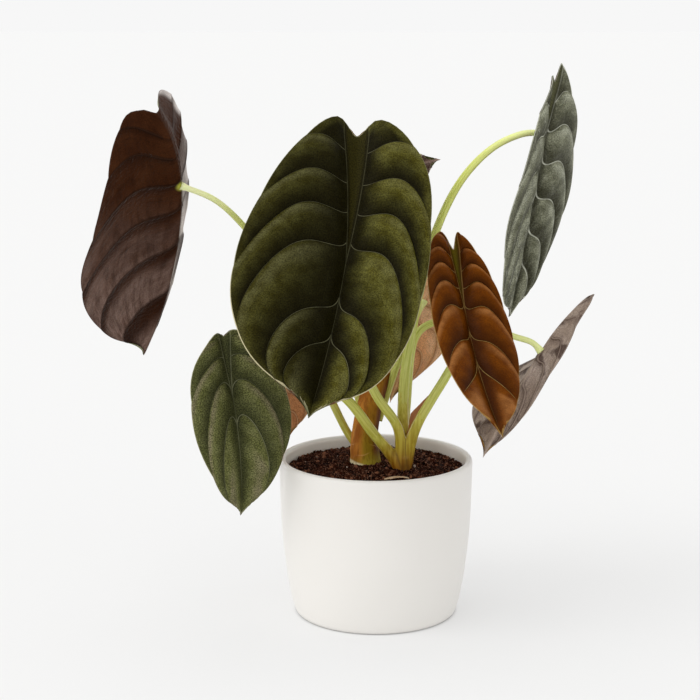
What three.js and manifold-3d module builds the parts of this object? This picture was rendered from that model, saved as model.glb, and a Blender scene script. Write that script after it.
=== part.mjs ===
// A potted alocasia with nine shield-shaped leaves, in millimetres, +Z up, the front towards -Y.
// The origin lies on the pot's axis in the plane that the pot stands on.
import * as THREE from "three";
import Module from "manifold-3d";

const wasm = await Module();
wasm.setup();

const DEG = Math.PI / 180;
const GAP = 0.3; // clear space between pieces that touch in the real plant

// Pot: radius and height pairs, from the middle of the underside, up the outside and down the inside
const POT_OUTSIDE = [
  [0, 0], [54, 0], [55.8, 0.6], [56.9, 2.4], [59, 10], [61.9, 26], [64.4, 46],
  [66.3, 74], [67, 106.6], [66.7, 108.6], [65.8, 109.7],
];
const POT_INSIDE = [
  [64.6, 110], [63.4, 109.6], [62.7, 108.5], [62.3, 106.5], [61.5, 74], [59.6, 46],
  [57.2, 26], [54, 10], [50, 7], [0, 7],
];
const POT_SEGMENTS = 48;

// Soil: height at the wall, height and steepness of the low mound, and its crumbs, whose pattern turns
// by one angle from segment to segment and by the other from ring to ring
const SOIL_EDGE = 101.5;
const SOIL_MOUND = 2.8;
const SOIL_MOUND_POWER = 2.4;
const SOIL_CRUMB = 1.1;
const SOIL_CRUMB_TURNS = [5.3, 9.1];
const SOIL_RINGS = 7;
const SOIL_SEGMENTS = 36;

// Leaf blade: thickness, the share of the half width at each column of vertices, the rows in each
// interval between two veins, the width of the slope beside the sunken midrib, the depth of the
// channel against its half width, the width over which the fold at the midrib is rounded, the least
// value of late, and the fullness and the mean height of a panel between two veins
const BLADE_THICK = 1.0;
const COLUMNS_LARGE = [0.07, 0.3, 0.55, 0.8, 1];
const COLUMNS_SMALL = [0.12, 0.42, 0.74, 1];
const VEIN_ROWS_LARGE = 3;
const VEIN_ROWS_SMALL = 2;
const TROUGH_SLOPE = 7;
const CHANNEL_DEPTH = 0.25;
const CREASE_WIDTH = 2;
const LEAST_LATE = 0.7;
const PUFF_POWER = 0.75;
const PUFF_MEAN = 0.6;
const VEIN_MARKS = [-0.02, 1.04]; // where the first and the last vein interval would begin and end

// Rods: distance between rings along a stem, sides of each kind, how deep a stem's end lies under the
// blade's middle surface, and how much thicker a sheath is than the stem at its upper end
const RING_SPACING = 12;
const FEWEST_RINGS = 3;
const STEM_SIDES = 8;
const SHEATH_SIDES = 10;
const TRUNK_SIDES = 16;
const JOINT_DEPTH = 0.4;
const SHEATH_WALL = 0.7;

// What all leaves share. Lengths run from the point where the stem joins the blade.
const LEAF = {
  lean: 0, notch: 9, dip: [0.16, 0.16], nib: 10, nibSpan: 0.16, taper: 0.9, taperSpan: 0.22,
  full: [0.05, 0.05], square: [0, 0], ear: [0, 0], cup: [-18, -20], twist: 0, sway: 0,
  bendTip: 15, bendLobe: 8, channel: 6, trough: 2.2, quilt: 3, sweep: [-0.35, 4.2], late: [5.6, -5],
  rise: -0.05, wave: 1, waves: 3.5, scallop: 0.015, veins: [0.12, 0.22, 0.31, 0.4, 0.5, 0.61],
};

// Each leaf: place of the joint, azimuth of the upper face (0 looks to the front, 90 to the right),
// hang of the midrib below level, tip and lobe lengths and the widths of the left and right halves.
// The side veins sweep to the tip by sweep, and late tells how near to the margin they do so: both are
// a value at the notch and its change up to the tip.
const LEAVES = {
  front_large: {
    at: [-21, -52, 251.5], azimuth: 19, hang: 59, lean: -19, tip: 112, lobe: 111, width: [70.8, 60.2],
    notch: 12, dip: [0.13, 0.13], full: [-0.26, 0.03], square: [0.01, 0.12], ear: [2.7, 1.5],
    fold: [5, 27], cup: [-18, -20], twist: -10, sway: -7.9, bendTip: -5, bendLobe: 6, channel: 9,
    trough: 3.2, quilt: 4.4, sweep: [-0.33, 4.43], late: [5.83, -5.25],
    veins: [0.16, 0.256, 0.332, 0.409, 0.546, 0.633],
  },
  left: {
    at: [-131.4, -10.7, 299.4], azimuth: -110.5, hang: 77, lean: -25, tip: 142.7, lobe: 79.4,
    width: [69.6, 60.3], notch: 23.4, dip: [0.33, 0.52], full: [0.5, -0.36], square: [-0.08, -0.31],
    ear: [-7, 18], fold: [12, 23], cup: [25, -8], twist: 9, sway: 19.3, bendTip: -18, bendLobe: -44,
    channel: 7, trough: 2.6, quilt: 3.4, sweep: [-0.28, 2.88], late: [4.92, -4.47], wave: 1.2,
    scallop: 0.03, veins: [0.191, 0.253, 0.323, 0.394, 0.488, 0.621],
  },
  lower_left: {
    at: [-96.5, -34, 159], azimuth: 15, hang: 79, lean: 7, tip: 88.5, lobe: 49, width: [31.4, 35],
    notch: 5.3, dip: [0.12, 0.12], full: [0.2, 0.09], square: [-0.09, -0.08], ear: [1, 1.4],
    fold: [36, 13], cup: [-25, -27], twist: -4, sway: -3.3, bendTip: 39, bendLobe: -29, channel: 4.5,
    trough: 2, quilt: 2.6, sweep: [-0.5, 4.65], late: [5.85, -8], rise: 0.055, wave: 1.2,
    scallop: 0.05, veins: [0.12, 0.263, 0.38, 0.492],
  },
  top_right: {
    at: [113.3, -0.3, 332.9], azimuth: 39, hang: 115.5, lean: 13.3, tip: 145.8, lobe: 55.4,
    width: [31.6, 30.4], notch: 14, dip: [0.23, 0.15], full: [-0.41, -0.45], square: [-0.08, -0.2],
    ear: [-1.3, 3], fold: [26, 5], cup: [-13.5, -20.5], twist: -6.6, sway: -12.4, bendTip: -7,
    bendLobe: -3, channel: 4.5, trough: 2.2, quilt: 3.6, wave: 1.2, scallop: 0.05,
    veins: [0.1, 0.19, 0.28, 0.37, 0.46, 0.56, 0.66],
  },
  right_copper: {
    at: [57.3, -50, 220.3], azimuth: 17, hang: 51, lean: -3, tip: 105, lobe: 62, width: [32.7, 24.6],
    notch: 14.2, dip: [0.16, 0.16], full: [-0.03, -0.18], square: [0.11, -0.16], ear: [0.7, 2.2],
    fold: [32, 17], cup: [-33, -27], twist: -6, sway: 0.4, bendTip: -24, bendLobe: -2, channel: 4,
    trough: 2.4, quilt: 2.7, sweep: [0.75, 0.3], late: [5.73, -8], wave: 0.6, scallop: 0.02,
    veins: [0.07, 0.145, 0.209, 0.27, 0.339, 0.434, 0.532],
  },
  far_right: {
    at: [113, -6, 185], azimuth: 112, hang: 125, lean: 0, tip: 83, lobe: 47, width: [16, 39],
    notch: 2, full: [0.24, -0.16], square: [0.1, -0.1], ear: [8, -17], fold: [30, 33],
    cup: [-10, -12], twist: -62, sway: -13, bendTip: 4, bendLobe: -12, channel: 3, trough: 1.5,
    quilt: 1.6, wave: 0.8,
  },
  rear_lower: {
    at: [34, 28, 215], azimuth: 172, hang: 95, lean: 18, tip: 78, lobe: 30, width: [25, 30],
    notch: 6, full: [0.4, 0.1], square: [-0.1, 0], fold: [12, 12], bendTip: -11, bendLobe: -6,
    channel: 4, trough: 1.8, quilt: 2, small: true,
  },
  rear_upper: {
    at: [1, 86, 297], azimuth: 180, hang: 52, lean: -116, tip: 51, lobe: 26, width: [19, 25],
    notch: 6, fold: [8, 10], channel: 4, trough: 1.8, quilt: 1.6, small: true,
  },
  rear_left: {
    at: [-64, 62, 164], azimuth: -160, hang: 70, lean: -4, tip: 66, lobe: 32, width: [28, 28],
    notch: 6, fold: [10, 10], channel: 4, trough: 1.6, quilt: 1.8, small: true,
  },
};

// Leaf stems: points from the base to the joint with the blade, and the radius at both ends.
// The last point of each comes from its leaf.
const STEMS = {
  front_large: {
    radius: [3.6, 2.3],
    path: [
      [17.8, -10, 110], [14.8, -11, 133], [0, -14, 156.4], [-15, -18, 192], [-21, -30, 232],
    ],
  },
  left: {
    radius: [2.9, 1.9],
    path: [
      [-9, 11, 109.5], [-19, 16, 122], [-29, 18, 141.5], [-53, 14, 197], [-76, 5, 250], [-90, -1, 271],
      [-108.5, -6, 289],
    ],
  },
  lower_left: {
    radius: [4, 2.2],
    path: [
      [14.8, -10, 107], [-3, -13, 130.9], [-19, -16, 153], [-45, -20, 174], [-71, -22, 179],
      [-85, -26, 172],
    ],
  },
  top_right: {
    radius: [4.1, 2.1],
    path: [
      [18.6, -9, 106.5], [18.7, -6, 123.5], [18.9, 1, 153], [23, 4, 188.5], [32, 3, 237], [41, 1, 269],
      [54, 0, 297], [67, 0, 314], [80, 0, 325], [92, 0, 331], [101, -1, 333.5],
    ],
  },
  right_copper: {
    radius: [4, 2.1],
    path: [
      [20.7, -9, 108.5], [27, -12, 133], [47.5, -16, 170.5], [58, -26, 194], [59, -38, 212],
    ],
  },
  far_right: {
    radius: [3.2, 2],
    path: [
      [19.6, -7, 108.7], [21.5, 4, 148.8], [28, 11, 193.3], [39, 12, 202], [65, 6, 204], [94, -1, 195],
      [107, -4, 191],
    ],
  },
  rear_lower: {
    radius: [3.2, 1.9],
    path: [
      [1.5, 15.5, 132], [6.5, 19, 146.5], [14, 18, 169], [24, 18, 196],
    ],
  },
  rear_upper: {
    radius: [3, 1.9],
    path: [
      [-4.5, 17, 128.5], [-12, 40, 188], [-10, 60, 240], [-4, 76, 276], [0, 83, 289],
    ],
  },
  rear_left: {
    radius: [2.8, 1.8],
    path: [
      [-7, 15, 128.5], [-19, 34, 161], [-42, 46, 178], [-55, 54, 175],
    ],
  },
};

// Old stem base behind, and the crown of leaf bases in front, both let into the soil
const REAR_STEM = {
  radius: [10.5, 8.6],
  path: [[-6, 7, 84], [-7, 7, 101], [-8, 9.5, 118.5], [-5, 14, 139], [3, 21.5, 166.5]],
};
const CROWN_ROOT = { radius: [6.4, 8], path: [[19, -10, 84], [19, -10, 97], [19, -9, 112]] };
// How far each leaf base runs up its stem inside the crown, and its radius at the bottom
const CROWN_SHEATHS = {
  front_large: [34, 5.4],
  lower_left: [32, 5.4],
  top_right: [46, 5.6],
  right_copper: [42, 5.4],
  far_right: [40, 5],
};
// A brown sheet of old sheath that stays between two of the stems
const CROWN_WEB = { corners: [[20.6, -9, 122], [23.5, -10, 143], [42.5, -14, 164]], thick: 1.6 };

// Dry scrap on the soil: its middle, its length, width and thickness, how far it is turned and arched,
// how much it narrows towards its ends and its upper face against its lower one
const BARK = {
  at: [13.5, -37, 103.5], size: [17, 3.6, 1], turn: 8, arch: 1.4, ends: 1.6, top: 0.8, steps: 6,
};

const COLOURS = {
  pot: 0xf1eee8,
  soil: 0x2a1712,
  bark_scrap: 0xb79a78,
  rear_pseudostem: 0x8a4a22,
  front_crown: 0xa79a4a,
  petiole: 0xa9b352,
  front_large: 0x3a3d1e,
  left: 0x3a1e16,
  lower_left: 0x555a42,
  top_right: 0x59604f,
  right_copper: 0x74380f,
  far_right: 0x7c655f,
  rear_lower: 0x9c6a52,
  rear_upper: 0x4a2a26,
  rear_left: 0xa0603c,
};

const sum = (...all) => all.reduce((p, q) => [p[0] + q[0], p[1] + q[1], p[2] + q[2]]);
const scale = (p, k) => [p[0] * k, p[1] * k, p[2] * k];
const cross = (p, q) => [
  p[1] * q[2] - p[2] * q[1],
  p[2] * q[0] - p[0] * q[2],
  p[0] * q[1] - p[1] * q[0],
];
const dot = (p, q) => p[0] * q[0] + p[1] * q[1] + p[2] * q[2];
const unit = (p) => scale(p, 1 / Math.hypot(...p));
const clamp = (x) => Math.min(Math.max(x, 0), 1);

// A closed solid from vertices and triangles
function solid(vertices, triangles) {
  return new wasm.Manifold(
    new wasm.Mesh({
      numProp: 3,
      vertProperties: new Float32Array(vertices.flat()),
      triVerts: new Uint32Array(triangles.flat()),
    }),
  );
}

// The biggest body of a solid, where a cut leaves crumbs beside it
function biggest(made) {
  return made.decompose().reduce((a, b) => (b.volume() > a.volume() ? b : a));
}

// The joint's directions: along the midrib to the tip, out of the upper face, and to the right
function leafAxes(leaf) {
  const az = leaf.azimuth * DEG;
  const hang = leaf.hang * DEG;
  const lean = leaf.lean * DEG;
  const out = [Math.sin(az), -Math.cos(az), 0];
  const along = sum(scale(out, Math.cos(hang)), [0, 0, -Math.sin(hang)]);
  const face = sum(scale(out, Math.sin(hang)), [0, 0, Math.cos(hang)]);
  const right = cross(face, along);
  const tip = sum(scale(along, Math.cos(lean)), scale(right, Math.sin(lean)));
  return { tip, face, right: cross(face, tip) };
}

// The margin of one half, v running from the notch round the lobe to the tip
function margin(leaf, half, v) {
  const f = Math.PI * v;
  const swell = 1 + leaf.full[half] * Math.cos(f) + leaf.square[half] * Math.cos(2 * f);
  const narrow = 1 - leaf.taper * Math.exp(-(((Math.PI - f) / leaf.taperSpan) ** 2));
  const top = leaf.lobe + leaf.ear[half];
  const reach = (top + leaf.tip - leaf.nib) / 2;
  const dip = (leaf.notch + leaf.ear[half]) * Math.exp(-((f / leaf.dip[half]) ** 2));
  const nib = leaf.nib * Math.exp(-(((Math.PI - f) / leaf.nibSpan) ** 2));
  const level = top - reach + reach * Math.cos(f) - dip - nib;
  return [leaf.width[half] * Math.sin(f) * swell * narrow, level];
}

// Which vein interval u falls in, as a number that is whole on every vein
function veinPhase(leaf, u) {
  const marks = [VEIN_MARKS[0], ...leaf.veins, VEIN_MARKS[1]];
  const i = Math.max(0, marks.findIndex((m, k) => u < marks[k + 1]));
  return i + (u - marks[i]) / (marks[i + 1] - marks[i]);
}

// A point of the blade's middle surface: side is -1 or 1, a runs from the midrib to the margin,
// and a line of constant u follows the side veins
function bladePoint(leaf, axes, side, a, u) {
  const half = side < 0 ? 0 : 1;
  const late = Math.max(leaf.late[0] + leaf.late[1] * u, LEAST_LATE);
  const sweep = (leaf.sweep[0] + leaf.sweep[1] * u) * a ** late;
  const rise = leaf.rise * Math.sin(Math.PI * u) * Math.sin(Math.PI * Math.sqrt(a));
  const v = clamp(1 - (1 - u) ** (1 + sweep) - rise);
  const edge = margin(leaf, half, v);
  const top = leaf.lobe - leaf.notch;
  const mid = top - ((leaf.tip + top) * (1 - Math.cos(Math.PI * v))) / 2;
  const puff = Math.abs(Math.sin(Math.PI * veinPhase(leaf, u))) ** PUFF_POWER;
  const x = a * edge[0] * (1 + leaf.scallop * a ** 3 * (puff - PUFF_MEAN));
  const y = mid + (edge[1] - mid) * a;

  // Relief: the channel, which narrows to the midrib's groove, the slope beside it, the quilting
  // between the veins and the waves of the margin
  const ends = Math.sin(Math.PI * v);
  const channel = leaf.channel * clamp(y / top);
  const floor = CHANNEL_DEPTH * Math.max(channel - x ** 2 / Math.max(channel, 0.01), 0) * ends ** 0.4;
  const beyond = Math.max(x - channel, 0);
  const trough = leaf.trough * (1 - Math.exp(-((beyond / TROUGH_SLOPE) ** 2))) * ends ** 0.4;
  const across = clamp(beyond / Math.max(edge[0], 1));
  const quilt = leaf.quilt * puff * clamp(across / 0.25) ** 0.8 * (1 - 0.75 * across ** 2) * ends ** 0.5;
  const wave = leaf.wave * a ** 3 * Math.sin(2 * Math.PI * leaf.waves * v + side) * ends;
  const crease = Math.sin(leaf.fold[half] * DEG) * CREASE_WIDTH * (Math.exp(-x / CREASE_WIDTH) - 1);
  const height = trough - floor + quilt + wave + crease;

  // The midrib bends evenly on each side of the joint, and no leaf has a bend of exactly 0
  const s = -y;
  const k = (s > 0 ? leaf.bendTip / leaf.tip : leaf.bendLobe / leaf.lobe) * DEG;
  const angle = k * s;
  const along = Math.sin(angle) / k;
  const drop = (1 - Math.cos(angle)) / k;

  // Each half folds up from the midrib and curls towards its margin
  const fold = leaf.fold[half] * DEG;
  const c = (leaf.cup[half] * DEG) / leaf.width[half];
  const wide = (Math.sin(fold + c * x) - Math.sin(fold)) / c;
  const high = (Math.cos(fold) - Math.cos(fold + c * x)) / c + height;

  const twist = (leaf.twist * DEG * s) / leaf.tip;
  const normal = sum(scale(axes.face, Math.cos(angle)), scale(axes.tip, Math.sin(angle)));
  const right = sum(scale(axes.right, Math.cos(twist)), scale(normal, Math.sin(twist)));
  const up = sum(scale(normal, Math.cos(twist)), scale(axes.right, -Math.sin(twist)));
  return sum(
    leaf.at,
    scale(axes.tip, along),
    scale(axes.face, -drop),
    scale(axes.right, leaf.sway * (s / leaf.tip) ** 2),
    scale(right, side * wide),
    scale(up, high),
  );
}

// A blade as a closed shell: the same grid above and below, joined round the margin
function blade(leaf, thick) {
  const axes = leafAxes(leaf);
  const shares = leaf.small ? COLUMNS_SMALL : COLUMNS_LARGE;
  const steps = leaf.small ? VEIN_ROWS_SMALL : VEIN_ROWS_LARGE;
  const marks = [0, ...leaf.veins, 1];
  const rows = [];
  marks.slice(1).forEach((end, i) => {
    for (let j = 0; j < steps; j++) rows.push(marks[i] + ((end - marks[i]) * j) / steps);
  });
  rows.push(1);
  const columns = [...shares.toReversed().map((a) => [-1, a]), [1, 0], ...shares.map((a) => [1, a])];
  const grid = rows.map((u) => columns.map(([side, a]) => bladePoint(leaf, axes, side, a, u)));
  const last = rows.length - 1;
  const wide = columns.length - 1;

  const vertices = [];
  const index = rows.map(() => []);
  grid.forEach((row, i) =>
    row.forEach((p, j) => {
      if ((i === 0 || i === last) && j > 0) {
        index[i][j] = index[i][0];
        return;
      }
      let normal;
      if (i > 0 && i < last) {
        const down = sum(grid[i + 1][j], scale(grid[i - 1][j], -1));
        const over = sum(row[Math.min(j + 1, wide)], scale(row[Math.max(j - 1, 0)], -1));
        normal = unit(cross(down, over));
      } else {
        const near = grid[i === 0 ? 1 : last - 1];
        const away = scale(sum(near[wide >> 1], scale(p, -1)), i === 0 ? 1 : -1);
        normal = unit(cross(away, sum(near[wide], scale(near[0], -1))));
      }
      index[i][j] = vertices.length / 2;
      vertices.push(sum(p, scale(normal, thick / 2)), sum(p, scale(normal, -thick / 2)));
    }),
  );
  const triangles = [];
  const add = (a, b, c) => {
    if (a === b || b === c || a === c) return;
    triangles.push([2 * a, 2 * b, 2 * c], [2 * a + 1, 2 * c + 1, 2 * b + 1]);
  };
  const wall = (a, b) => triangles.push([2 * a, 2 * a + 1, 2 * b + 1], [2 * a, 2 * b + 1, 2 * b]);
  for (let i = 0; i < last; i++) {
    for (let j = 0; j < wide; j++) {
      add(index[i][j], index[i + 1][j], index[i + 1][j + 1]);
      add(index[i][j], index[i + 1][j + 1], index[i][j + 1]);
    }
    wall(index[i][0], index[i + 1][0]);
    wall(index[i + 1][wide], index[i][wide]);
  }
  return solid(vertices, triangles);
}

// A round rod of changing radius along a smooth curve through the points, closed at both ends
function rod(path, radii, { length = Infinity, grow = 0, sides = STEM_SIDES } = {}) {
  const points = path.map((p) => new THREE.Vector3(...p));
  const curve = new THREE.CatmullRomCurve3(points, false, "centripetal");
  const whole = curve.getLength();
  const used = Math.min(length, whole);
  const count = Math.max(FEWEST_RINGS, Math.round(used / RING_SPACING));
  const centres = [];
  const tangents = [];
  for (let i = 0; i <= count; i++) {
    const t = (used / whole) * (i / count);
    centres.push(curve.getPointAt(t).toArray());
    tangents.push(curve.getTangentAt(t).toArray());
  }
  centres[0] = sum(centres[0], scale(tangents[0], -grow));
  centres[count] = sum(centres[count], scale(tangents[count], grow));
  let side = unit(cross(tangents[0], Math.abs(tangents[0][1]) < 0.8 ? [0, 1, 0] : [1, 0, 0]));
  const vertices = [centres[0]];
  for (let i = 0; i <= count; i++) {
    side = unit(sum(side, scale(tangents[i], -dot(side, tangents[i]))));
    const other = cross(tangents[i], side);
    const radius = radii[0] + (radii[1] - radii[0]) * (i / count) + grow;
    for (let j = 0; j < sides; j++) {
      const w = (2 * Math.PI * j) / sides;
      const out = sum(scale(side, radius * Math.cos(w)), scale(other, radius * Math.sin(w)));
      vertices.push(sum(centres[i], out));
    }
  }
  vertices.push(centres[count]);
  const at = (i, j) => 1 + i * sides + (j % sides);
  const triangles = [];
  for (let j = 0; j < sides; j++) {
    triangles.push([0, at(0, j + 1), at(0, j)]);
    for (let i = 0; i < count; i++) {
      triangles.push([at(i, j), at(i, j + 1), at(i + 1, j + 1)]);
      triangles.push([at(i, j), at(i + 1, j + 1), at(i + 1, j)]);
    }
    triangles.push([vertices.length - 1, at(count, j), at(count, j + 1)]);
  }
  return solid(vertices, triangles);
}

const leaves = {};
for (const [name, own] of Object.entries(LEAVES)) leaves[name] = { ...LEAF, ...own };

// Full path of a leaf stem: it ends at the blade, coming from the underside
function stemPath(name) {
  const leaf = leaves[name];
  return [...STEMS[name].path, sum(leaf.at, scale(leafAxes(leaf).face, -JOINT_DEPTH))];
}

// The crown's leaf bases thicken towards the soil
function crown(grow) {
  let made = rod(CROWN_ROOT.path, CROWN_ROOT.radius, { grow, sides: TRUNK_SIDES });
  for (const [name, [length, bottom]] of Object.entries(CROWN_SHEATHS)) {
    const radii = [bottom, STEMS[name].radius[0] + SHEATH_WALL];
    made = made.add(rod(stemPath(name), radii, { length, grow, sides: SHEATH_SIDES }));
  }
  const [a, b, c] = CROWN_WEB.corners;
  const side = unit(cross(sum(b, scale(a, -1)), sum(c, scale(a, -1))));
  const half = CROWN_WEB.thick / 2 + grow;
  const corners = [a, b, c].flatMap((p) => [sum(p, scale(side, half)), sum(p, scale(side, -half))]);
  return made.add(wasm.Manifold.hull(corners));
}

const rearStem = (grow) => rod(REAR_STEM.path, REAR_STEM.radius, { grow, sides: TRUNK_SIDES });

// Soil that fills the pot, its crumbly top low at the wall and mounded in the middle
function soil() {
  const wall = POT_INSIDE.slice(3, -1).map(([r, z]) => [r - GAP, z + GAP]);
  const radiusAt = (z) => {
    const i = wall.findIndex(([, level], k) => k > 0 && level <= z);
    const [r0, z0] = wall[i - 1];
    const [r1, z1] = wall[i];
    return r0 + ((r1 - r0) * (z - z0)) / (z1 - z0);
  };
  const rim = radiusAt(SOIL_EDGE);
  const sides = [[rim, SOIL_EDGE], ...wall.filter(([, z]) => z < SOIL_EDGE)];
  const vertices = [[0, 0, SOIL_EDGE + SOIL_MOUND]];
  const rings = [];
  const ring = (radius, level) => {
    const line = [];
    for (let j = 0; j < SOIL_SEGMENTS; j++) {
      const w = (2 * Math.PI * j) / SOIL_SEGMENTS;
      line.push(vertices.length);
      vertices.push([radius * Math.cos(w), radius * Math.sin(w), level(j)]);
    }
    rings.push(line);
  };
  const [byStep, byRing] = SOIL_CRUMB_TURNS;
  for (let i = 1; i < SOIL_RINGS; i++) {
    const share = i / SOIL_RINGS;
    const level = SOIL_EDGE + SOIL_MOUND * (1 - share ** SOIL_MOUND_POWER);
    ring(rim * share, (j) => level + SOIL_CRUMB * share * Math.sin(j * byStep + i * byRing));
  }
  sides.forEach(([r, z]) => ring(r, () => z));
  vertices.push([0, 0, sides.at(-1)[1]]);
  const triangles = [];
  for (let j = 0; j < SOIL_SEGMENTS; j++) {
    const n = (j + 1) % SOIL_SEGMENTS;
    triangles.push([0, rings[0][j], rings[0][n]]);
    for (let i = 0; i + 1 < rings.length; i++) {
      triangles.push([rings[i][j], rings[i + 1][j], rings[i + 1][n]]);
      triangles.push([rings[i][j], rings[i + 1][n], rings[i][n]]);
    }
    triangles.push([vertices.length - 1, rings.at(-1)[n], rings.at(-1)[j]]);
  }
  return solid(vertices, triangles);
}

// A scrap of dry sheath, a thin arched strip that lies on the soil
function bark() {
  const [long, wide, thick] = BARK.size;
  const turn = BARK.turn * DEG;
  const vertices = [];
  const count = BARK.steps;
  for (let i = 0; i <= count; i++) {
    const t = i / count - 0.5;
    const half = (wide / 2) * (1 - BARK.ends * t * t);
    const above = half * BARK.top;
    const level = BARK.arch * (1 - 4 * t * t);
    for (const [y, z] of [[-half, 0], [half, 0], [above, thick], [-above, thick]]) {
      const x = t * long;
      vertices.push([
        BARK.at[0] + x * Math.cos(turn) - y * Math.sin(turn),
        BARK.at[1] + x * Math.sin(turn) + y * Math.cos(turn),
        BARK.at[2] + level + z,
      ]);
    }
  }
  const triangles = [[0, 2, 1], [0, 3, 2]];
  for (let i = 0; i < count; i++) {
    for (let j = 0; j < 4; j++) {
      const a = 4 * i + j;
      const b = 4 * i + ((j + 1) % 4);
      triangles.push([a, b, b + 4], [a, b + 4, a + 4]);
    }
  }
  const e = 4 * count;
  triangles.push([e, e + 1, e + 2], [e, e + 2, e + 3]);
  return solid(vertices, triangles);
}

const plant = new THREE.Group();
plant.name = "potted_alocasia";

function addMesh(name, geometry, color, roughness) {
  const material = new THREE.MeshStandardMaterial({ color, roughness, metalness: 0 });
  const mesh = new THREE.Mesh(geometry, material);
  mesh.name = name;
  plant.add(mesh);
}

function addSolid(name, made, color, roughness) {
  const { numProp, vertProperties, triVerts } = made.getMesh();
  const geometry = new THREE.BufferGeometry();
  const count = vertProperties.length / numProp;
  const positions = new Float32Array(3 * count);
  for (let i = 0; i < count; i++) {
    positions.set(vertProperties.subarray(i * numProp, i * numProp + 3), 3 * i);
  }
  geometry.setAttribute("position", new THREE.BufferAttribute(positions, 3));
  geometry.setIndex(new THREE.BufferAttribute(new Uint32Array(triVerts), 1));
  geometry.computeVertexNormals();
  addMesh(name, geometry, color, roughness);
}

const profile = [...POT_OUTSIDE, ...POT_INSIDE].map(([r, z]) => new THREE.Vector2(r, z));
const potShape = new THREE.LatheGeometry(profile, POT_SEGMENTS);
potShape.rotateX(Math.PI / 2);
addMesh("pot", potShape, COLOURS.pot, 0.4);

// Each stem stands in holes of the pieces that it passes, cut with the clear space round it
const crownSpace = crown(GAP);
const rearSpace = rearStem(GAP);
const bed = soil().subtract(crownSpace).subtract(rearSpace);
addSolid("soil", biggest(bed), COLOURS.soil, 0.95);
addSolid("bark_scrap", bark(), COLOURS.bark_scrap, 0.85);
addSolid("rear_pseudostem", rearStem(0), COLOURS.rear_pseudostem, 0.6);
addSolid("front_crown", biggest(crown(0).subtract(rearSpace)), COLOURS.front_crown, 0.5);

const passed = [];
for (const [name, leaf] of Object.entries(leaves)) {
  const { radius } = STEMS[name];
  let stem = rod(stemPath(name), radius)
    .subtract(crownSpace)
    .subtract(rearSpace)
    .subtract(blade(leaf, BLADE_THICK + 2 * GAP));
  for (const other of passed) stem = stem.subtract(other);
  passed.push(rod(stemPath(name), radius, { grow: GAP }));
  addSolid("leaf_" + name, blade(leaf, BLADE_THICK), COLOURS[name], 0.45);
  addSolid("petiole_" + name, biggest(stem), COLOURS.petiole, 0.45);
}

export default plant;
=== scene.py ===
import math
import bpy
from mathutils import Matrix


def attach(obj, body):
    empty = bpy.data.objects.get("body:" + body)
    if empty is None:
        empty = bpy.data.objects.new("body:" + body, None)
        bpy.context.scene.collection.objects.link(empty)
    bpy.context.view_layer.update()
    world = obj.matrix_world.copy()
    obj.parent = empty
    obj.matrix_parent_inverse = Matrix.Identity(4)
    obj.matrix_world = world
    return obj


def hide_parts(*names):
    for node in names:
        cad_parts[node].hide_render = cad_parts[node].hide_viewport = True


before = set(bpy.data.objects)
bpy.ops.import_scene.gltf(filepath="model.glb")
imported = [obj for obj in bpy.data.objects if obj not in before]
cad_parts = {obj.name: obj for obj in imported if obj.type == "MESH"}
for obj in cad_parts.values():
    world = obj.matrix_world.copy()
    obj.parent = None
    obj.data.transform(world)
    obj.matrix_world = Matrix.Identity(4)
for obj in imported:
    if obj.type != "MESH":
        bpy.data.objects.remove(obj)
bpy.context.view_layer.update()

from types import SimpleNamespace

import bpy
import numpy as np

# A potted alocasia. Lengths are in millimetres up to the making of each mesh, which is in metres.
MM = 0.001
PI = math.pi

# Camera: place, how far it looks down and the width of its lens for the square frame
CAMERA_AT = (-0.018, -1.150, 0.408)
CAMERA_DOWN = 10.96
CAMERA_LENS = 87.69

# Studio: the key's turn from the front to the right, height and width in degrees, and its strength; the
# radiance of the surroundings far from the key and round it, the heights between which they leave the
# horizon's radiance, and the floor
KEY_TURN, KEY_RISE, KEY_WIDTH, KEY_STRENGTH = -66, 42, 34, 0.55
WORLD_DIM = 0.8
WORLD_BRIGHT = 1.3
WORLD_HORIZON = (0.03, 0.2)
BACKDROP = 0.93
FLOOR_RADIUS, FLOOR_SIDES = 60, 64
FLOOR_TONE = (0.8, 0.8, 0.796)
# The floor's own glow, as a share of its brightness: painted light that lifts the shadows on it
FLOOR_GLOW = 0.42
FLOOR_GLOW_FROM = (0.053, 0.0585)  # how far from the pot's middle the floor's glow, painted light that lifts the shadows on it, begins

POT_PROFILE = [
    (0, 3.2), (44, 3.2), (47, 2.6), (49.5, 0.6), (51, 0), (54, 0), (55.2, 0.25), (56.2, 1.1), (56.9, 2.6),
    (57.9, 6), (59, 10), (61.9, 26), (64.4, 46), (65.6, 60), (66.3, 74), (66.75, 92), (67, 105),
    (67, 106.9), (66.8, 108.2), (66.35, 109.2), (65.6, 109.85), (64.7, 110), (63.8, 109.8),
    (63.1, 109.2), (62.6, 108.2), (62.3, 106.5), (62, 92), (61.5, 74), (59.6, 46), (57.2, 26),
    (54, 10), (50, 7), (0, 7),
]
POT_SEGMENTS = 180
POT_STEP = 6  # its rings lie less than two such steps apart
POT_LIP_RINGS = 2  # rings inside the top of the lip that keep the outer glaze's colour; past them the inner wall is painted lighter, as painted light

SOIL_EDGE = 101.5
SOIL_MOUND = 2.8
SOIL_MOUND_POWER = 2.4
SOIL_RADIUS = 61.9
SOIL_BOTTOM = SOIL_EDGE - 9
SOIL_RIM_DROP = 1.2  # how far the bed falls at the pot
SOIL_SEED, SOIL_RINGS, SOIL_SEGMENTS = 7, 118, 300
# Lumps of the bed: how many and how far from its middle, radius, height as a share of it, how far the
# bed lies under the soil's level, and how far it rises from there at the most
SOIL_LUMPS, LUMP_SPREAD = 5200, 66
LUMP_SIZE, LUMP_TOP = (0.9, 2.4), (0.2, 1)
LUMP_FOOT, LUMP_MOST = 1, 1.7
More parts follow.
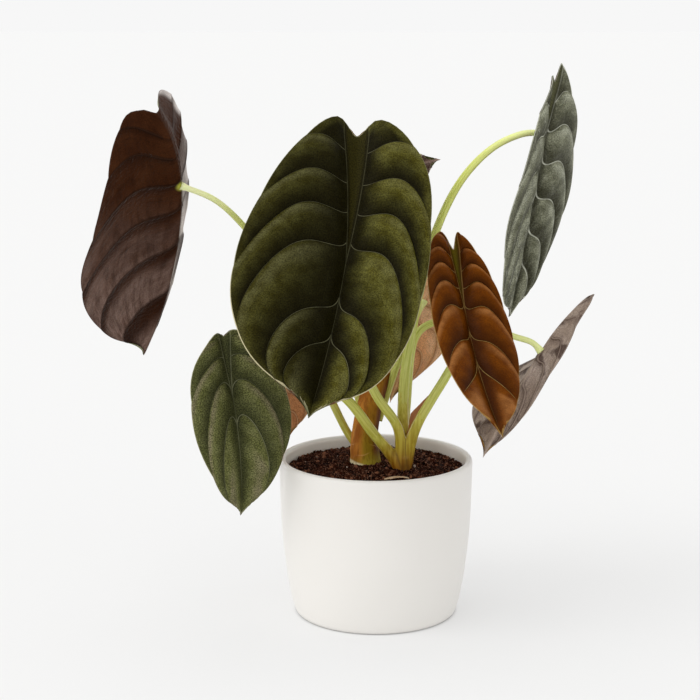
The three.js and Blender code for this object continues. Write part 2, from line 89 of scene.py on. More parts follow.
# Crumbs: how many, the shapes that they share, least radius, what it may grow by and how seldom, lift as
# a share of the radius, and the discs round the stems that stay free of them
CRUMBS, CRUMB_SHAPES = 2600, 24
CRUMB_LEAST, CRUMB_MORE, CRUMB_POWER = 0.55, 1.15, 2.6
CRUMB_LIFT = (-0.2, 0.55)
CRUMB_FREE = [(-7, 7, 11.3), (19, -10, 7.5)]

# Leaf blades: depth of the channel against its half width, the width over which the fold at the midrib
# is rounded and that of the trough beside it, how early at the least a side vein turns to the tip, and
# the fullness and the mean height of a panel between two veins
CHANNEL_DEPTH = 0.25
CREASE_WIDTH = 2
TROUGH_WIDTH = 7
LEAST_LATE = 0.7
PUFF_POWER = 0.75
PUFF_MEAN = 0.6

LEAF = dict(
    lean=0, notch=9, dip=(0.16, 0.16), nib=10, nibSpan=0.16, taper=0.9, taperSpan=0.22,
    full=(0.05, 0.05), square=(0, 0), ear=(0, 0), cup=(-18, -20), twist=0, sway=0,
    bendTip=15, bendLobe=8, channel=6, trough=2.2, quilt=3, sweep=(-0.35, 4.2), late=(5.6, -5),
    rise=-0.05, wave=1, waves=3.5, scallop=0.015, veins=(0.12, 0.22, 0.31, 0.4, 0.5, 0.61),
)
LEAVES = dict(
    front_large=dict(
        at=(-21, -52, 251.5), azimuth=19, hang=59, lean=-19, tip=112, lobe=111, width=(70.8, 60.2),
        notch=12, dip=(0.13, 0.13), full=(-0.26, 0.03), square=(0.01, 0.12), ear=(2.7, 1.5),
        fold=(5, 27), twist=-10, sway=-7.9, bendTip=-5, bendLobe=6, channel=9,
        trough=3.2, quilt=4.4, sweep=(-0.33, 4.43), late=(5.83, -5.25),
        veins=(0.16, 0.256, 0.332, 0.409, 0.546, 0.633)),
    left=dict(
        at=(-131.4, -10.7, 299.4), azimuth=-110.5, hang=77, lean=-25, tip=142.7, lobe=79.4,
        width=(69.6, 60.3), notch=23.4, dip=(0.33, 0.52), full=(0.5, -0.36), square=(-0.08, -0.31),
        ear=(-7, 18), fold=(12, 23), cup=(25, -8), twist=9, sway=19.3, bendTip=-18, bendLobe=-44,
        channel=7, trough=2.6, quilt=3.4, sweep=(-0.28, 2.88), late=(4.92, -4.47), wave=1.2,
        scallop=0.012, veins=(0.191, 0.253, 0.323, 0.394, 0.488, 0.621)),
    lower_left=dict(
        at=(-96.5, -34, 159), azimuth=15, hang=79, lean=7, tip=88.5, lobe=49, width=(31.4, 35),
        notch=5.3, dip=(0.12, 0.12), full=(0.2, 0.09), square=(-0.09, -0.08), ear=(1, 1.4),
        fold=(36, 13), cup=(-25, -27), twist=-4, sway=-3.3, bendTip=39, bendLobe=-29, channel=4.5,
        trough=2, quilt=2.6, sweep=(-0.5, 4.65), late=(5.85, -8), rise=0.055, wave=1.2,
        scallop=0.05, veins=(0.12, 0.263, 0.38, 0.492)),
    top_right=dict(
        at=(113.3, -0.3, 332.9), azimuth=39, hang=115.5, lean=13.3, tip=145.8, lobe=55.4,
        width=(31.6, 30.4), notch=14, dip=(0.23, 0.15), full=(-0.41, -0.45), square=(-0.08, -0.2),
        ear=(-1.3, 3), fold=(26, 5), cup=(-13.5, -20.5), twist=-6.6, sway=-12.4, bendTip=-7,
        bendLobe=-3, channel=4.5, quilt=3.6, wave=1.2, scallop=0.05,
        veins=(0.1, 0.19, 0.28, 0.37, 0.46, 0.56, 0.66)),
    right_copper=dict(
        at=(57.3, -50, 220.3), azimuth=17, hang=51, lean=-3, tip=105, lobe=62, width=(32.7, 24.6),
        notch=14.2, full=(-0.03, -0.18), square=(0.11, -0.16), ear=(0.7, 2.2),
        fold=(32, 17), cup=(-33, -27), twist=-6, sway=0.4, bendTip=-24, bendLobe=-2, channel=4,
        trough=2.4, quilt=2.7, sweep=(0.75, 0.3), late=(5.73, -8), wave=0.6, scallop=0.02,
        veins=(0.07, 0.145, 0.209, 0.27, 0.339, 0.434, 0.532)),
    far_right=dict(
        at=(113, -6, 185), azimuth=112, hang=125, tip=83, lobe=47, width=(16, 39),
        notch=2, full=(0.24, -0.16), square=(0.1, -0.1), ear=(8, -17), fold=(30, 33),
        cup=(-10, -12), twist=-62, sway=-13, bendTip=4, bendLobe=-12, channel=3, trough=1.5,
        quilt=1.6, wave=0.8),
    rear_lower=dict(
        at=(34, 28, 215), azimuth=172, hang=95, lean=18, tip=78, lobe=30, width=(25, 30),
        notch=6, full=(0.4, 0.1), square=(-0.1, 0), fold=(12, 12), bendTip=-11, bendLobe=-6,
        channel=4, trough=1.8, quilt=2),
    rear_upper=dict(
        at=(1, 86, 297), azimuth=180, hang=52, lean=-116, tip=51, lobe=26, width=(19, 25),
        notch=6, fold=(8, 10), channel=4, trough=1.8, quilt=1.6),
    rear_left=dict(
        at=(-64, 62, 164), azimuth=-160, hang=70, lean=-4, tip=66, lobe=32, width=(28, 28),
        notch=6, fold=(10, 10), channel=4, trough=1.6, quilt=1.8),
)
LEAVES = {name: SimpleNamespace(**{**LEAF, **own}) for name, own in LEAVES.items()}

# Columns of points from the midrib to the margin, rows from vein to vein, and the blade's thickness
COLUMNS = np.array([
    0, 0.008, 0.018, 0.032, 0.05, 0.072, 0.098, 0.128, 0.162, 0.2, 0.24, 0.285, 0.33, 0.375, 0.42, 0.465,
    0.51, 0.555, 0.6, 0.645, 0.69, 0.735, 0.78, 0.822, 0.862, 0.897, 0.927, 0.952, 0.971, 0.985, 0.994, 1])
ROWS_PER_VEIN = 14
BLADE_THICK = 0.72
# Relief as height and width: the groove above a side vein, the thread in it and the ridge below it,
# then the height of the midrib below, and of the main veins of the lobes
VEIN_GROOVE = (0.34, 0.9)
VEIN_THREAD = (0.2, 0.32)
VEIN_RIDGE = (0.42, 0.75)
MIDRIB_RIDGE = 1.25
LOBE_RIDGE = 0.55
MARGIN_ROUND = 0.55  # the width over which the margin is rounded

# Stems: radius at both ends, and points from the base to the blade
STEMS = dict(
    front_large=((3.6, 2.3), [
        (17.8, -10, 110), (14.8, -11, 133), (0, -14, 156.4), (-15, -18, 192), (-21, -30, 232)]),
    left=((2.9, 1.9), [
        (-9, 11, 109.5), (-19, 16, 122), (-29, 18, 141.5), (-53, 14, 197), (-76, 5, 250),
        (-90, -1, 271), (-108.5, -6, 289)]),
    lower_left=((4, 2.2), [
        (14.8, -10, 107), (-3, -13, 130.9), (-19, -16, 153), (-45, -20, 174), (-71, -22, 179),
        (-85, -26, 172)]),
    top_right=((4.1, 2.1), [
        (18.6, -9, 106.5), (18.7, -6, 123.5), (18.9, 1, 153), (23, 4, 188.5), (32, 3, 237),
        (41, 1, 269), (54, 0, 297), (67, 0, 314), (80, 0, 325), (92, 0, 331), (101, -1, 333.5)]),
    right_copper=((4, 2.1), [
        (20.7, -9, 108.5), (27, -12, 133), (47.5, -16, 170.5), (58, -26, 194), (59, -38, 212)]),
    far_right=((3.2, 2), [
        (19.6, -7, 108.7), (21.5, 4, 148.8), (28, 11, 193.3), (39, 12, 202), (65, 6, 204),
        (94, -1, 195), (107, -4, 191)]),
    rear_lower=((3.2, 1.9), [
        (1.5, 15.5, 132), (6.5, 19, 146.5), (14, 18, 169), (24, 18, 196)]),
    rear_upper=((3, 1.9), [
        (-4.5, 17, 128.5), (-12, 40, 188), (-10, 60, 240), (-4, 76, 276), (0, 83, 289)]),
    rear_left=((2.8, 1.8), [
        (-7, 15, 128.5), (-19, 34, 161), (-42, 46, 178), (-55, 54, 175)]),
)
STEM_LAST = 0.4  # how far under the blade's middle surface the curve of a stem ends
STEM_UNDER = 0.45  # how far under it the stem itself stays
STEM_REACH = 12  # the stretch over which it bends to do so
STEM_RINGS, STEM_SIDES = 90, 28

# Old stem: radius at both ends, its points, and the height, tilt and turn of its scars
REAR_STEM = ((10.5, 8.8), [(-6, 7, 84), (-7, 7, 101), (-8, 9.5, 118.5), (-5, 14, 139), (3, 21.5, 166.5)])
REAR_SCARS = ((119.5, 6.5, 0.6), (113.6, 4.4, 0.2), (110.2, 1.6, -1.4))
REAR_RINGS, REAR_SIDES = 150, 72
REAR_INNER = 0.93  # its innermost layer's radius, as a share
REAR_FOOT, REAR_FLARE = 101, 0.06  # where it widens at its foot, and by how much
SCAR_STEP, SCAR_WIDE = 0.035, 0.45  # what it loses in radius at a scar, and the width of the scar's edge

# Crown: radius at both ends of its root, and its points
CROWN_ROOT = ((4.2, 6), [(19, -10, 84), (19, -10, 97), (19, -9, 112)])
# Sheaths that wrap the stems: how far each reaches up its stem, and its radius where the stem starts
CROWN_SHEATHS = dict(front_large=(36, 4.7), lower_left=(32, 4.6), top_right=(52, 5.2),
                     right_copper=(44, 4.8), far_right=(40, 4.4))
SHEATH_FOOT = (19, -9.5, 92)
SHEATH_FOOT_RADIUS = 3.4
SHEATH_END = -0.12  # a sheath's radius at its upper end, less the stem's
IN_SHEATH = 0.75  # a stem's width inside its sheath, as a share of its width outside
SEAM_TURN, SEAM_WIDE = 1.15, 0.16  # how far round from the front a sheath's pale margin runs, and its width
CROWN_WEB = [(20.6, -9, 122), (23.5, -10, 143), (42.5, -14, 164)]
WEB_HALF = 0.8  # half its thickness
CREASE_SHADE_WIDTH = 0.13  # the width of the painted shade in the crease between two sheaths
ROOT_RINGS, SHEATH_RINGS, CROWN_SIDES = 30, 60, 24
CROWN_VOXEL, CROWN_SMOOTH = 0.62, 5

# Dry scrap on the soil: its place, length, width and thickness, and how far it is turned
BARK_AT = (13.5, -37, 103.5)
BARK_SIZE = (17, 3.6, 0.8)
BARK_TURN = math.radians(8)
BARK_SEED, BARK_RINGS, BARK_SIDES = 3, 40, 12


# Meshes

def add(name, data):
    made = bpy.data.objects.new(name, data)
    bpy.context.scene.collection.objects.link(made)
    return made


def make_piece(name, node, slot, vertices, faces, materials, indices=None, smooth=True, **values):
    """A piece from points in millimetres, with values or vectors for its materials at each point. It
    stands for its CAD node and takes its place on the model's only body."""
    mesh = bpy.data.meshes.new(name)
    mesh.from_pydata((np.asarray(vertices, float) * MM).tolist(), [], [list(map(int, f)) for f in faces])
    for material in materials:
        mesh.materials.append(material)
    if indices is not None:
        mesh.polygons.foreach_set("material_index", np.asarray(indices, np.int32))
    mesh.polygons.foreach_set("use_smooth", np.full(len(mesh.polygons), smooth))
    for key, data in values.items():
        data = np.asarray(data, np.float32)
        kind, field = ("FLOAT", "value") if data.ndim == 1 else ("FLOAT_VECTOR", "vector")
        mesh.attributes.new(key, kind, "POINT").data.foreach_set(field, data.ravel())
    mesh.update()
    piece = add(name, mesh)
    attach(piece, "root")
    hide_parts(node)


def unit(v):
    return v / np.maximum(np.linalg.norm(v, axis=-1, keepdims=True), 1e-9)


def smoothstep(x, low, high):
    t = np.clip((x - low) / (high - low), 0, 1)
    return t * t * (3 - 2 * t)


def bell(x, width):
    return np.exp(-(x / width) ** 2)


def between(ends, share):
    return ends[0] + (ends[1] - ends[0]) * share


def turns(sides):
    return 2 * PI * np.arange(sides) / sides


def column(q):
    return np.asarray(q)[..., None]


# Leaves

def leaf_axes(leaf):
    az, hang, lean = np.radians([leaf.azimuth, leaf.hang, leaf.lean])
    out = np.array([np.sin(az), -np.cos(az), 0.0])
    up = np.array([0, 0, 1.0])
    along = np.cos(hang) * out - np.sin(hang) * up
    face = np.sin(hang) * out + np.cos(hang) * up
    right = np.cross(face, along)
    tip = np.cos(lean) * along + np.sin(lean) * right
    return tip, face, np.cross(face, tip)


def margin(leaf, half, v):
    f = PI * v
    swell = 1 + leaf.full[half] * np.cos(f) + leaf.square[half] * np.cos(2 * f)
    narrow = 1 - leaf.taper * bell(PI - f, leaf.taperSpan)
    top = leaf.lobe + leaf.ear[half]
    reach = (top + leaf.tip - leaf.nib) / 2
    dip = (leaf.notch + leaf.ear[half]) * bell(f, leaf.dip[half])
    nib = leaf.nib * bell(PI - f, leaf.nibSpan)
    return leaf.width[half] * np.sin(f) * swell * narrow, top - reach + reach * np.cos(f) - dip - nib


def leaf_flat(leaf, half, a, u):
    """Flat place of a point: a runs from the midrib to the margin, u from the notch round to the tip."""
    late = np.maximum(leaf.late[0] + leaf.late[1] * u, LEAST_LATE)
    sweep = (leaf.sweep[0] + leaf.sweep[1] * u) * a ** late
    rise = leaf.rise * np.sin(PI * u) * np.sin(PI * np.sqrt(a))
    v = np.clip(1 - (1 - u) ** (1 + sweep) - rise, 0, 1)
    edge_x, edge_y = margin(leaf, half, v)
    top = leaf.lobe - leaf.notch
    mid = top - (leaf.tip + top) * (1 - np.cos(PI * v)) / 2
    marks = np.array([-0.02, *leaf.veins, 1.04])
    phase = np.interp(u, marks, np.arange(len(marks)))
    puff = np.abs(np.sin(PI * phase)) ** PUFF_POWER
    x = a * edge_x * (1 + leaf.scallop * a ** 3 * (puff - PUFF_MEAN))
    return x, mid + (edge_y - mid) * a, v, edge_x, phase, puff


def leaf_surface(leaf, side, a, u):
    """Middle surface of the blade, with the values that its relief and its materials need."""
    half = 0 if side < 0 else 1
    tip_way, face, across_way = leaf_axes(leaf)
    x, y, v, edge_x, phase, puff = leaf_flat(leaf, half, a, u)
    ends = np.maximum(np.sin(PI * v), 0)
    channel = leaf.channel * np.clip(y / (leaf.lobe - leaf.notch), 0, 1)
    sunk = CHANNEL_DEPTH * np.maximum(channel - x ** 2 / np.maximum(channel, 0.01), 0) * ends ** 0.4
    rib = x - channel
    beyond = np.maximum(rib, 0)
    trough = leaf.trough * (1 - bell(beyond, TROUGH_WIDTH)) * ends ** 0.4
    across = np.clip(beyond / np.maximum(edge_x, 1), 0, 1)
    bulge = puff * np.clip(across / 0.25, 0, 1) ** 0.8
    quilt = leaf.quilt * bulge * (1 - 0.75 * across ** 2) * ends ** 0.5
    wave = leaf.wave * a ** 3 * np.sin(2 * PI * leaf.waves * v + side) * ends
    fold = math.radians(leaf.fold[half])
    crease = math.sin(fold) * CREASE_WIDTH * (np.exp(-x / CREASE_WIDTH) - 1)
    height = trough - sunk + quilt + wave + crease

    # Bent along the midrib, then folded and cupped across it, and twisted towards the tip
    s = -y
    k = np.radians(np.where(s > 0, leaf.bendTip / leaf.tip, leaf.bendLobe / leaf.lobe))
    angle = k * s
    along = np.sin(angle) / k
    drop = (1 - np.cos(angle)) / k
    c = math.radians(leaf.cup[half]) / leaf.width[half]
    wide = (np.sin(fold + c * x) - np.sin(fold)) / c
    high = (np.cos(fold) - np.cos(fold + c * x)) / c + height
    twist = np.radians(leaf.twist) * s / leaf.tip
    normal = column(np.cos(angle)) * face + column(np.sin(angle)) * tip_way
    right = column(np.cos(twist)) * across_way + column(np.sin(twist)) * normal
    up = column(np.cos(twist)) * normal - column(np.sin(twist)) * across_way
    spot = (np.array(leaf.at, float) + column(along) * tip_way - column(drop) * face
            + column(leaf.sway * (s / leaf.tip) ** 2) * across_way
            + column(side * wide) * right + column(high) * up)
    return spot, dict(x=side * x, y=y, v=v, rib=rib, phase=phase, across=across, ends=ends,
                      side=np.full(a.shape, float(side)))


def line_distance(points, line):
    """Distance of flat points to a polyline, and how far along it the nearest place is, from 0 to 1."""
    start, way = line[:-1], line[1:] - line[:-1]
    size = np.maximum((way ** 2).sum(1), 1e-12)
    t = np.clip(((points[:, None] - start) * way).sum(2) / size, 0, 1)
    gap = np.linalg.norm(points[:, None] - start - t[..., None] * way, axis=2)
    best = gap.argmin(1)
    rows = np.arange(len(points))
    return gap[rows, best], (best + t[rows, best]) / len(way)


def make_leaf(name, slot, materials):
    leaf = LEAVES[name]
    marks = np.array([0, *leaf.veins, 1])
    steps = (1 - np.cos(PI * np.arange(ROWS_PER_VEIN) / ROWS_PER_VEIN)) / 2
    rows = np.concatenate([m + (n - m) * steps for m, n in zip(marks[:-1], marks[1:])] + [[1.0]])
    halves = [leaf_surface(leaf, side, *np.meshgrid(shares, rows))
              for side, shares in ((-1, COLUMNS[::-1]), (1, COLUMNS[1:]))]
    grid = np.concatenate([places for places, _ in halves], 1)
    data = {key: np.concatenate([values[key] for _, values in halves], 1) for key in halves[0][1]}
    count, wide = grid.shape[:2]

    # How far each point lies from the side veins and the margin of its own half
    flat = np.stack([data["x"], data["y"]], -1)
    vein, edge = np.full((2, count, wide), 99.0)
    along_vein = np.zeros((count, wide))
    middle = len(COLUMNS) - 1
    for columns, border in ((slice(middle, None, -1), 0), (slice(middle, None), -1)):
        half = flat[:, columns]
        points, shape = half.reshape(-1, 2), half.shape[:2]
        for number in range(1, len(marks) - 1):
            gap, along = (q.reshape(shape) for q in line_distance(points, half[number * ROWS_PER_VEIN]))
            closer = gap < vein[:, columns]
            vein[:, columns] = np.where(closer, gap, vein[:, columns])
            along_vein[:, columns] = np.where(closer, along, along_vein[:, columns])
        gap, _ = line_distance(points, flat[:, border])
        edge[:, columns] = np.minimum(edge[:, columns], gap.reshape(shape))

    # Normals of the middle surface, the same all round at the notch and at the tip
    normal = unit(np.cross(np.gradient(grid, axis=0), np.gradient(grid, axis=1)))
    normal[0] = unit(normal[1].mean(0))
    normal[-1] = unit(normal[-2].mean(0))

    # Veins are sunk above and raised below, and the blade thins towards its margin
    taper = 1 - 0.75 * along_vein
    end = data["ends"] ** 0.5
    strength = taper * smoothstep(data["rib"], 0, 1.5) * end
    tipward = np.clip(-data["y"] / leaf.tip, 0, 1)
    midrib = bell(np.abs(data["x"]), 2.3 - 1.5 * tipward) * (1 - 0.85 * tipward) * end
    lobeward = bell(data["rib"], 1.6) * (data["y"] > 0) * end
    thin = BLADE_THICK / 2 * np.sqrt(np.clip(1 - (1 - np.clip(edge / MARGIN_ROUND, 0, 1)) ** 2, 0.12, 1))
    groove, thread, ridge = (height * bell(vein, width) * strength
                             for height, width in (VEIN_GROOVE, VEIN_THREAD, VEIN_RIDGE))
    below = thin + ridge + MIDRIB_RIDGE * midrib * (data["y"] <= 0) + LOBE_RIDGE * lobeward
    upper = grid + column(thin - groove + thread) * normal
    lower = grid - column(below) * normal

    index = np.arange(count * wide).reshape(count, wide)
    index[0] = index[0, 0]
    index[-1] = index[-1, 0]
    shift = count * wide
    quads = np.stack([index[:-1, :-1], index[1:, :-1], index[1:, 1:], index[:-1, 1:]], -1).reshape(-1, 4)
    rims = [np.stack([p, p + shift, q + shift, q], -1)
            for p, q in ((index[:-1, 0], index[1:, 0]), (index[1:, -1], index[:-1, -1]))]
    faces, kinds = [], []
    for kind, block in enumerate((quads, quads[:, ::-1] + shift, np.concatenate(rims))):
        for quad in block.tolist():
            clean = [q for i, q in enumerate(quad) if q != quad[i - 1]]
            if len(set(clean)) > 2:
                faces.append(clean)
                kinds.append(kind)
    vertices = np.concatenate([upper.reshape(-1, 3), lower.reshape(-1, 3)])
    used = np.unique(np.concatenate([np.asarray(f) for f in faces]))
    renumber = np.full(len(vertices), -1)
    renumber[used] = np.arange(len(used))
    twice = lambda q: np.concatenate([q, q])[used]
    place_flat = np.stack([data["x"], data["y"], np.zeros_like(data["x"])], -1).reshape(-1, 3)
    values = dict(rib=data["rib"], vein=vein / np.maximum(taper, 0.2), edge=edge, phase=data["phase"],
                  across=data["across"], round=data["v"], side=data["side"])
    faces = [[renumber[q] for q in f] for f in faces]
    make_piece(name + "_blade", "leaf_" + name, slot, vertices[used], faces, materials, kinds,
               flat=twice(place_flat), **{key: twice(q.ravel()) for key, q in values.items()})


# Stems

def curve_points(path, count, length=None):
    """Evenly spaced places and directions on the smooth curve through the points."""
    p = np.asarray(path, float)
    ends = np.concatenate([[2 * p[0] - p[1]], p, [2 * p[-1] - p[-2]]])
    dense = []
    for i in range(len(p) - 1):
        q = ends[i:i + 4]
        d = [max(float(np.sum((q[j + 1] - q[j]) ** 2)) ** 0.25, 1e-4) for j in range(3)]
        m1 = ((q[1] - q[0]) / d[0] - (q[2] - q[0]) / (d[0] + d[1]) + (q[2] - q[1]) / d[1]) * d[1]
        m2 = ((q[2] - q[1]) / d[1] - (q[3] - q[1]) / (d[1] + d[2]) + (q[3] - q[2]) / d[2]) * d[1]
        t = np.linspace(0, 1, 60, endpoint=i == len(p) - 2)[:, None]
        dense.append((2 * t ** 3 - 3 * t ** 2 + 1) * q[1] + (t ** 3 - 2 * t ** 2 + t) * m1
                     + (-2 * t ** 3 + 3 * t ** 2) * q[2] + (t ** 3 - t ** 2) * m2)
    dense = np.concatenate(dense)
    run = np.concatenate([[0], np.cumsum(np.linalg.norm(np.diff(dense, axis=0), axis=1))])
    whole = run[-1]
    at = np.linspace(0, whole if length is None else min(length, whole), count)
    places = np.stack([np.interp(at, run, dense[:, i]) for i in range(3)], 1)
    return places, unit(np.gradient(places, axis=0)), at, whole


def tube(places, ways, radii, sides, shape=None):
    """Rings of a tube: points by ring and side, with the angle of each side."""
    side = unit(np.cross(ways[0], [0, 1, 0] if abs(ways[0][1]) < 0.8 else [1, 0, 0]))
    angles = turns(sides)
    rings = []
    for i in range(len(places)):
        side = unit(side - ways[i] * np.dot(side, ways[i]))
        other = np.cross(ways[i], side)
        r = radii[i] * (1 if shape is None else shape(angles, i))
        rings.append(places[i] + np.outer(np.cos(angles) * r, side) + np.outer(np.sin(angles) * r, other))
    return np.array(rings), angles


def capped(rings, first, last):
    """All points of a tube: its rings, and the middles of both ends."""
    return np.concatenate([np.reshape(rings, (-1, 3)), [first, last]])


def tube_faces(count, sides):
    """Side faces of a tube of rings and the fans that close both ends, whose middles come last."""
    after = [(j + 1) % sides for j in range(sides)]
    faces = [[i * sides + j, i * sides + n, (i + 1) * sides + n, (i + 1) * sides + j]
             for i in range(count - 1) for j, n in enumerate(after)]
    last, start = (count - 1) * sides, count * sides
    for j, n in enumerate(after):
        faces += [[start, n, j], [start + 1, last + j, last + n]]
    return faces


def closed_tube(places, ways, sizes, sides):
    rings, _ = tube(places, ways, sizes, sides)
    return capped(rings, places[0], places[-1]), tube_faces(len(places), sides)


def stem_path(name):
    leaf = LEAVES[name]
    return STEMS[name][1] + [tuple(np.array(leaf.at) - STEM_LAST * leaf_axes(leaf)[1])]


def make_petiole(name, material):
    places, ways, at, whole = curve_points(stem_path(name), STEM_RINGS)
    radii = between(STEMS[name][0], at / whole)
    radii = radii * (1 + 0.5 * bell(whole - at, 3.4)) * (1 + 0.012 * np.sin(at * 0.21))
    if name in CROWN_SHEATHS:
        out = smoothstep(at / CROWN_SHEATHS[name][0], 0.5, 1) ** 0.5
        radii = radii * out * (1 - IN_SHEATH) + radii * IN_SHEATH
    ribs = lambda w, i: 1 + 0.02 * np.cos(3 * w + 0.4) + 0.016 * np.cos(7 * w + 1.7 + 0.01 * at[i])
    rings, angles = tube(places, ways, radii, STEM_SIDES, ribs)
    leaf = LEAVES[name]
    face = leaf_axes(leaf)[1]
    above = (rings - np.array(leaf.at, float)) @ face + STEM_UNDER
    near = smoothstep((whole - at)[:, None], STEM_REACH, 0.6 * STEM_REACH)
    rings = rings - column(np.maximum(above, 0) * near) * face
    vertices = capped(rings, places[0], places[-1] - STEM_UNDER * face)
    from_base = np.repeat(at, STEM_SIDES)
    around = [np.tile(q(angles) * 3, STEM_RINGS) for q in (np.cos, np.sin)]
    make_piece(name + "_stalk", "petiole_" + name, "green_stem", vertices,
               tube_faces(STEM_RINGS, STEM_SIDES), [material], level=vertices[:, 2],
               blade=np.append(np.repeat(whole - at, STEM_SIDES), [whole, 0]),
               flat=capped(np.stack([*around, from_base], -1), (0, 0, 0), (0, 0, whole)))


def fused(parts):
    """One body from several closed ones, with soft joins."""
    vertices, faces = [], []
    for points, ring_faces in parts:
        faces += [[q + len(vertices) for q in f] for f in ring_faces]
        vertices += np.asarray(points).tolist()
    mesh = bpy.data.meshes.new("crown_raw")
    mesh.from_pydata((np.array(vertices) * MM).tolist(), [], faces)
    raw = add("crown_raw", mesh)
    remesh = raw.modifiers.new("remesh", "REMESH")
    remesh.mode = "VOXEL"
    remesh.voxel_size = CROWN_VOXEL * MM
    soften = raw.modifiers.new("soften", "SMOOTH")
    soften.factor = 0.5
    soften.iterations = CROWN_SMOOTH
    bpy.context.view_layer.update()
    final = bpy.data.meshes.new_from_object(raw.evaluated_get(bpy.context.evaluated_depsgraph_get()))
    bpy.data.objects.remove(raw)
    places = np.zeros(len(final.vertices) * 3)
    final.vertices.foreach_get("co", places)
    return places.reshape(-1, 3) / MM, [list(p.vertices) for p in final.polygons]


# Node graphs

def sign(kind, swapped=False):
    """An operator between what a node puts out and a number or another such value."""
    return lambda self, other=0: self.math(kind, *((other, self) if swapped else (self, other)))


class Value:
    """What a node puts out, for use in sums and products."""

    __add__ = sign("ADD")
    __sub__ = sign("SUBTRACT")
    __rsub__ = sign("SUBTRACT", swapped=True)
    __mul__ = sign("MULTIPLY")
    __truediv__ = sign("DIVIDE")
    __abs__ = sign("ABSOLUTE")

    def __init__(self, graph, socket):
        self.math = graph.math
        self.socket = socket


class Graph:
    """Short names for the nodes of a tree."""

    def __init__(self, tree):
        self.tree = tree

    def put(self, socket, value):
        """Gives a socket a constant, a value or, by its name, a value that the points of the mesh hold."""
        if isinstance(value, str):
            value = self.value(value)
        if isinstance(value, Value):
            self.tree.links.new(value.socket, socket)
        elif socket.type == "RGBA" and len(value) == 3:
            socket.default_value = (*value, 1)
        else:
            socket.default_value = value

    def node(self, kind, inputs, output=0, **settings):
        """A new node, as one of the values that it puts out."""
        node = self.tree.nodes.new("ShaderNode" + kind)
        for key, setting in settings.items():
            setattr(node, key, setting)
        for key, value in inputs.items():
            self.put(node.inputs[key], value)
        return Value(self, node.outputs[output])

    def value(self, name):
        return self.node("Attribute", {}, "Fac", attribute_name=name)

    def vector(self, name):
        return self.node("Attribute", {}, "Vector", attribute_name=name)

    def part(self, vector, axis):
        return self.node("SeparateXYZ", {0: vector}, axis)

    def length(self, vector):
        return self.node("VectorMath", {0: vector}, "Value", operation="LENGTH")

    def stretch(self, vector, size):
        return self.node("VectorMath", {0: vector, 1: size}, operation="MULTIPLY")

    def join(self, x, y, z=0):
        return self.node("CombineXYZ", {0: x, 1: y, 2: z})

    def math(self, kind, a, b=0):
        return self.node("Math", {0: a, 1: b}, operation=kind)

    def most(self, a, b):
        return self.math("MAXIMUM", a, b)

    def step(self, value, low, high, start=0, end=1):
        """A smooth step from start at low to end at high."""
        inputs = {"Value": value, "From Min": low, "From Max": high, "To Min": start, "To Max": end}
        return self.node("MapRange", inputs, interpolation_type="SMOOTHSTEP")

    def fall(self, value, low, high):
        return self.step(value, low, high, 1, 0)

    def mix(self, share, a, b, kind="MIX"):
        # The colours of this node are its inputs 6 and 7 and its output 2
        return self.node("Mix", {0: share, 6: a, 7: b}, 2, data_type="RGBA", blend_type=kind,
                         clamp_factor=True)

    def noise(self, vector, scale, detail=2, rough=0.5, distortion=0):
        inputs = {"Vector": vector, "Scale": scale, "Detail": detail, "Roughness": rough,
                  "Distortion": distortion}
        return self.node("TexNoise", inputs, "Fac")


class Skin(Graph):
    """A material with one surface shader, whose colour is built up in layers."""

    def __init__(self, name):
        self.material = bpy.data.materials.new(name)
        self.material.use_nodes = True
        super().__init__(self.material.node_tree)
        self.tree.nodes.clear()
        out = self.tree.nodes.new("ShaderNodeOutputMaterial")
        shader = self.tree.nodes.new("ShaderNodeBsdfPrincipled")
        self.tree.links.new(shader.outputs[0], out.inputs[0])
        self.inputs = shader.inputs

    def place(self):
        return self.node("TexCoord", {}, "Object")

    def start(self, share, a, b):
        self.colour = self.mix(share, a, b)

    def lay(self, colour, share, *step):
        """A layer of colour, as strong as share, or as a step of it."""
        self.colour = self.mix(self.step(share, *step) if step else share, self.colour, colour)

    def tint(self, share):
        self.colour = self.mix(1, self.colour, self.join(share, share, share), "MULTIPLY")

    def bump(self, height, strength, distance):
        inputs = {"Height": height, "Strength": strength, "Distance": distance}
        self.put(self.inputs["Normal"], self.node("Bump", inputs))

    def surface(self, roughness, **constants):
        for key, value in dict(Base_Color=self.colour, Roughness=roughness, **constants).items():
            self.put(self.inputs[key.replace("_", " ")], value)
        return self.material


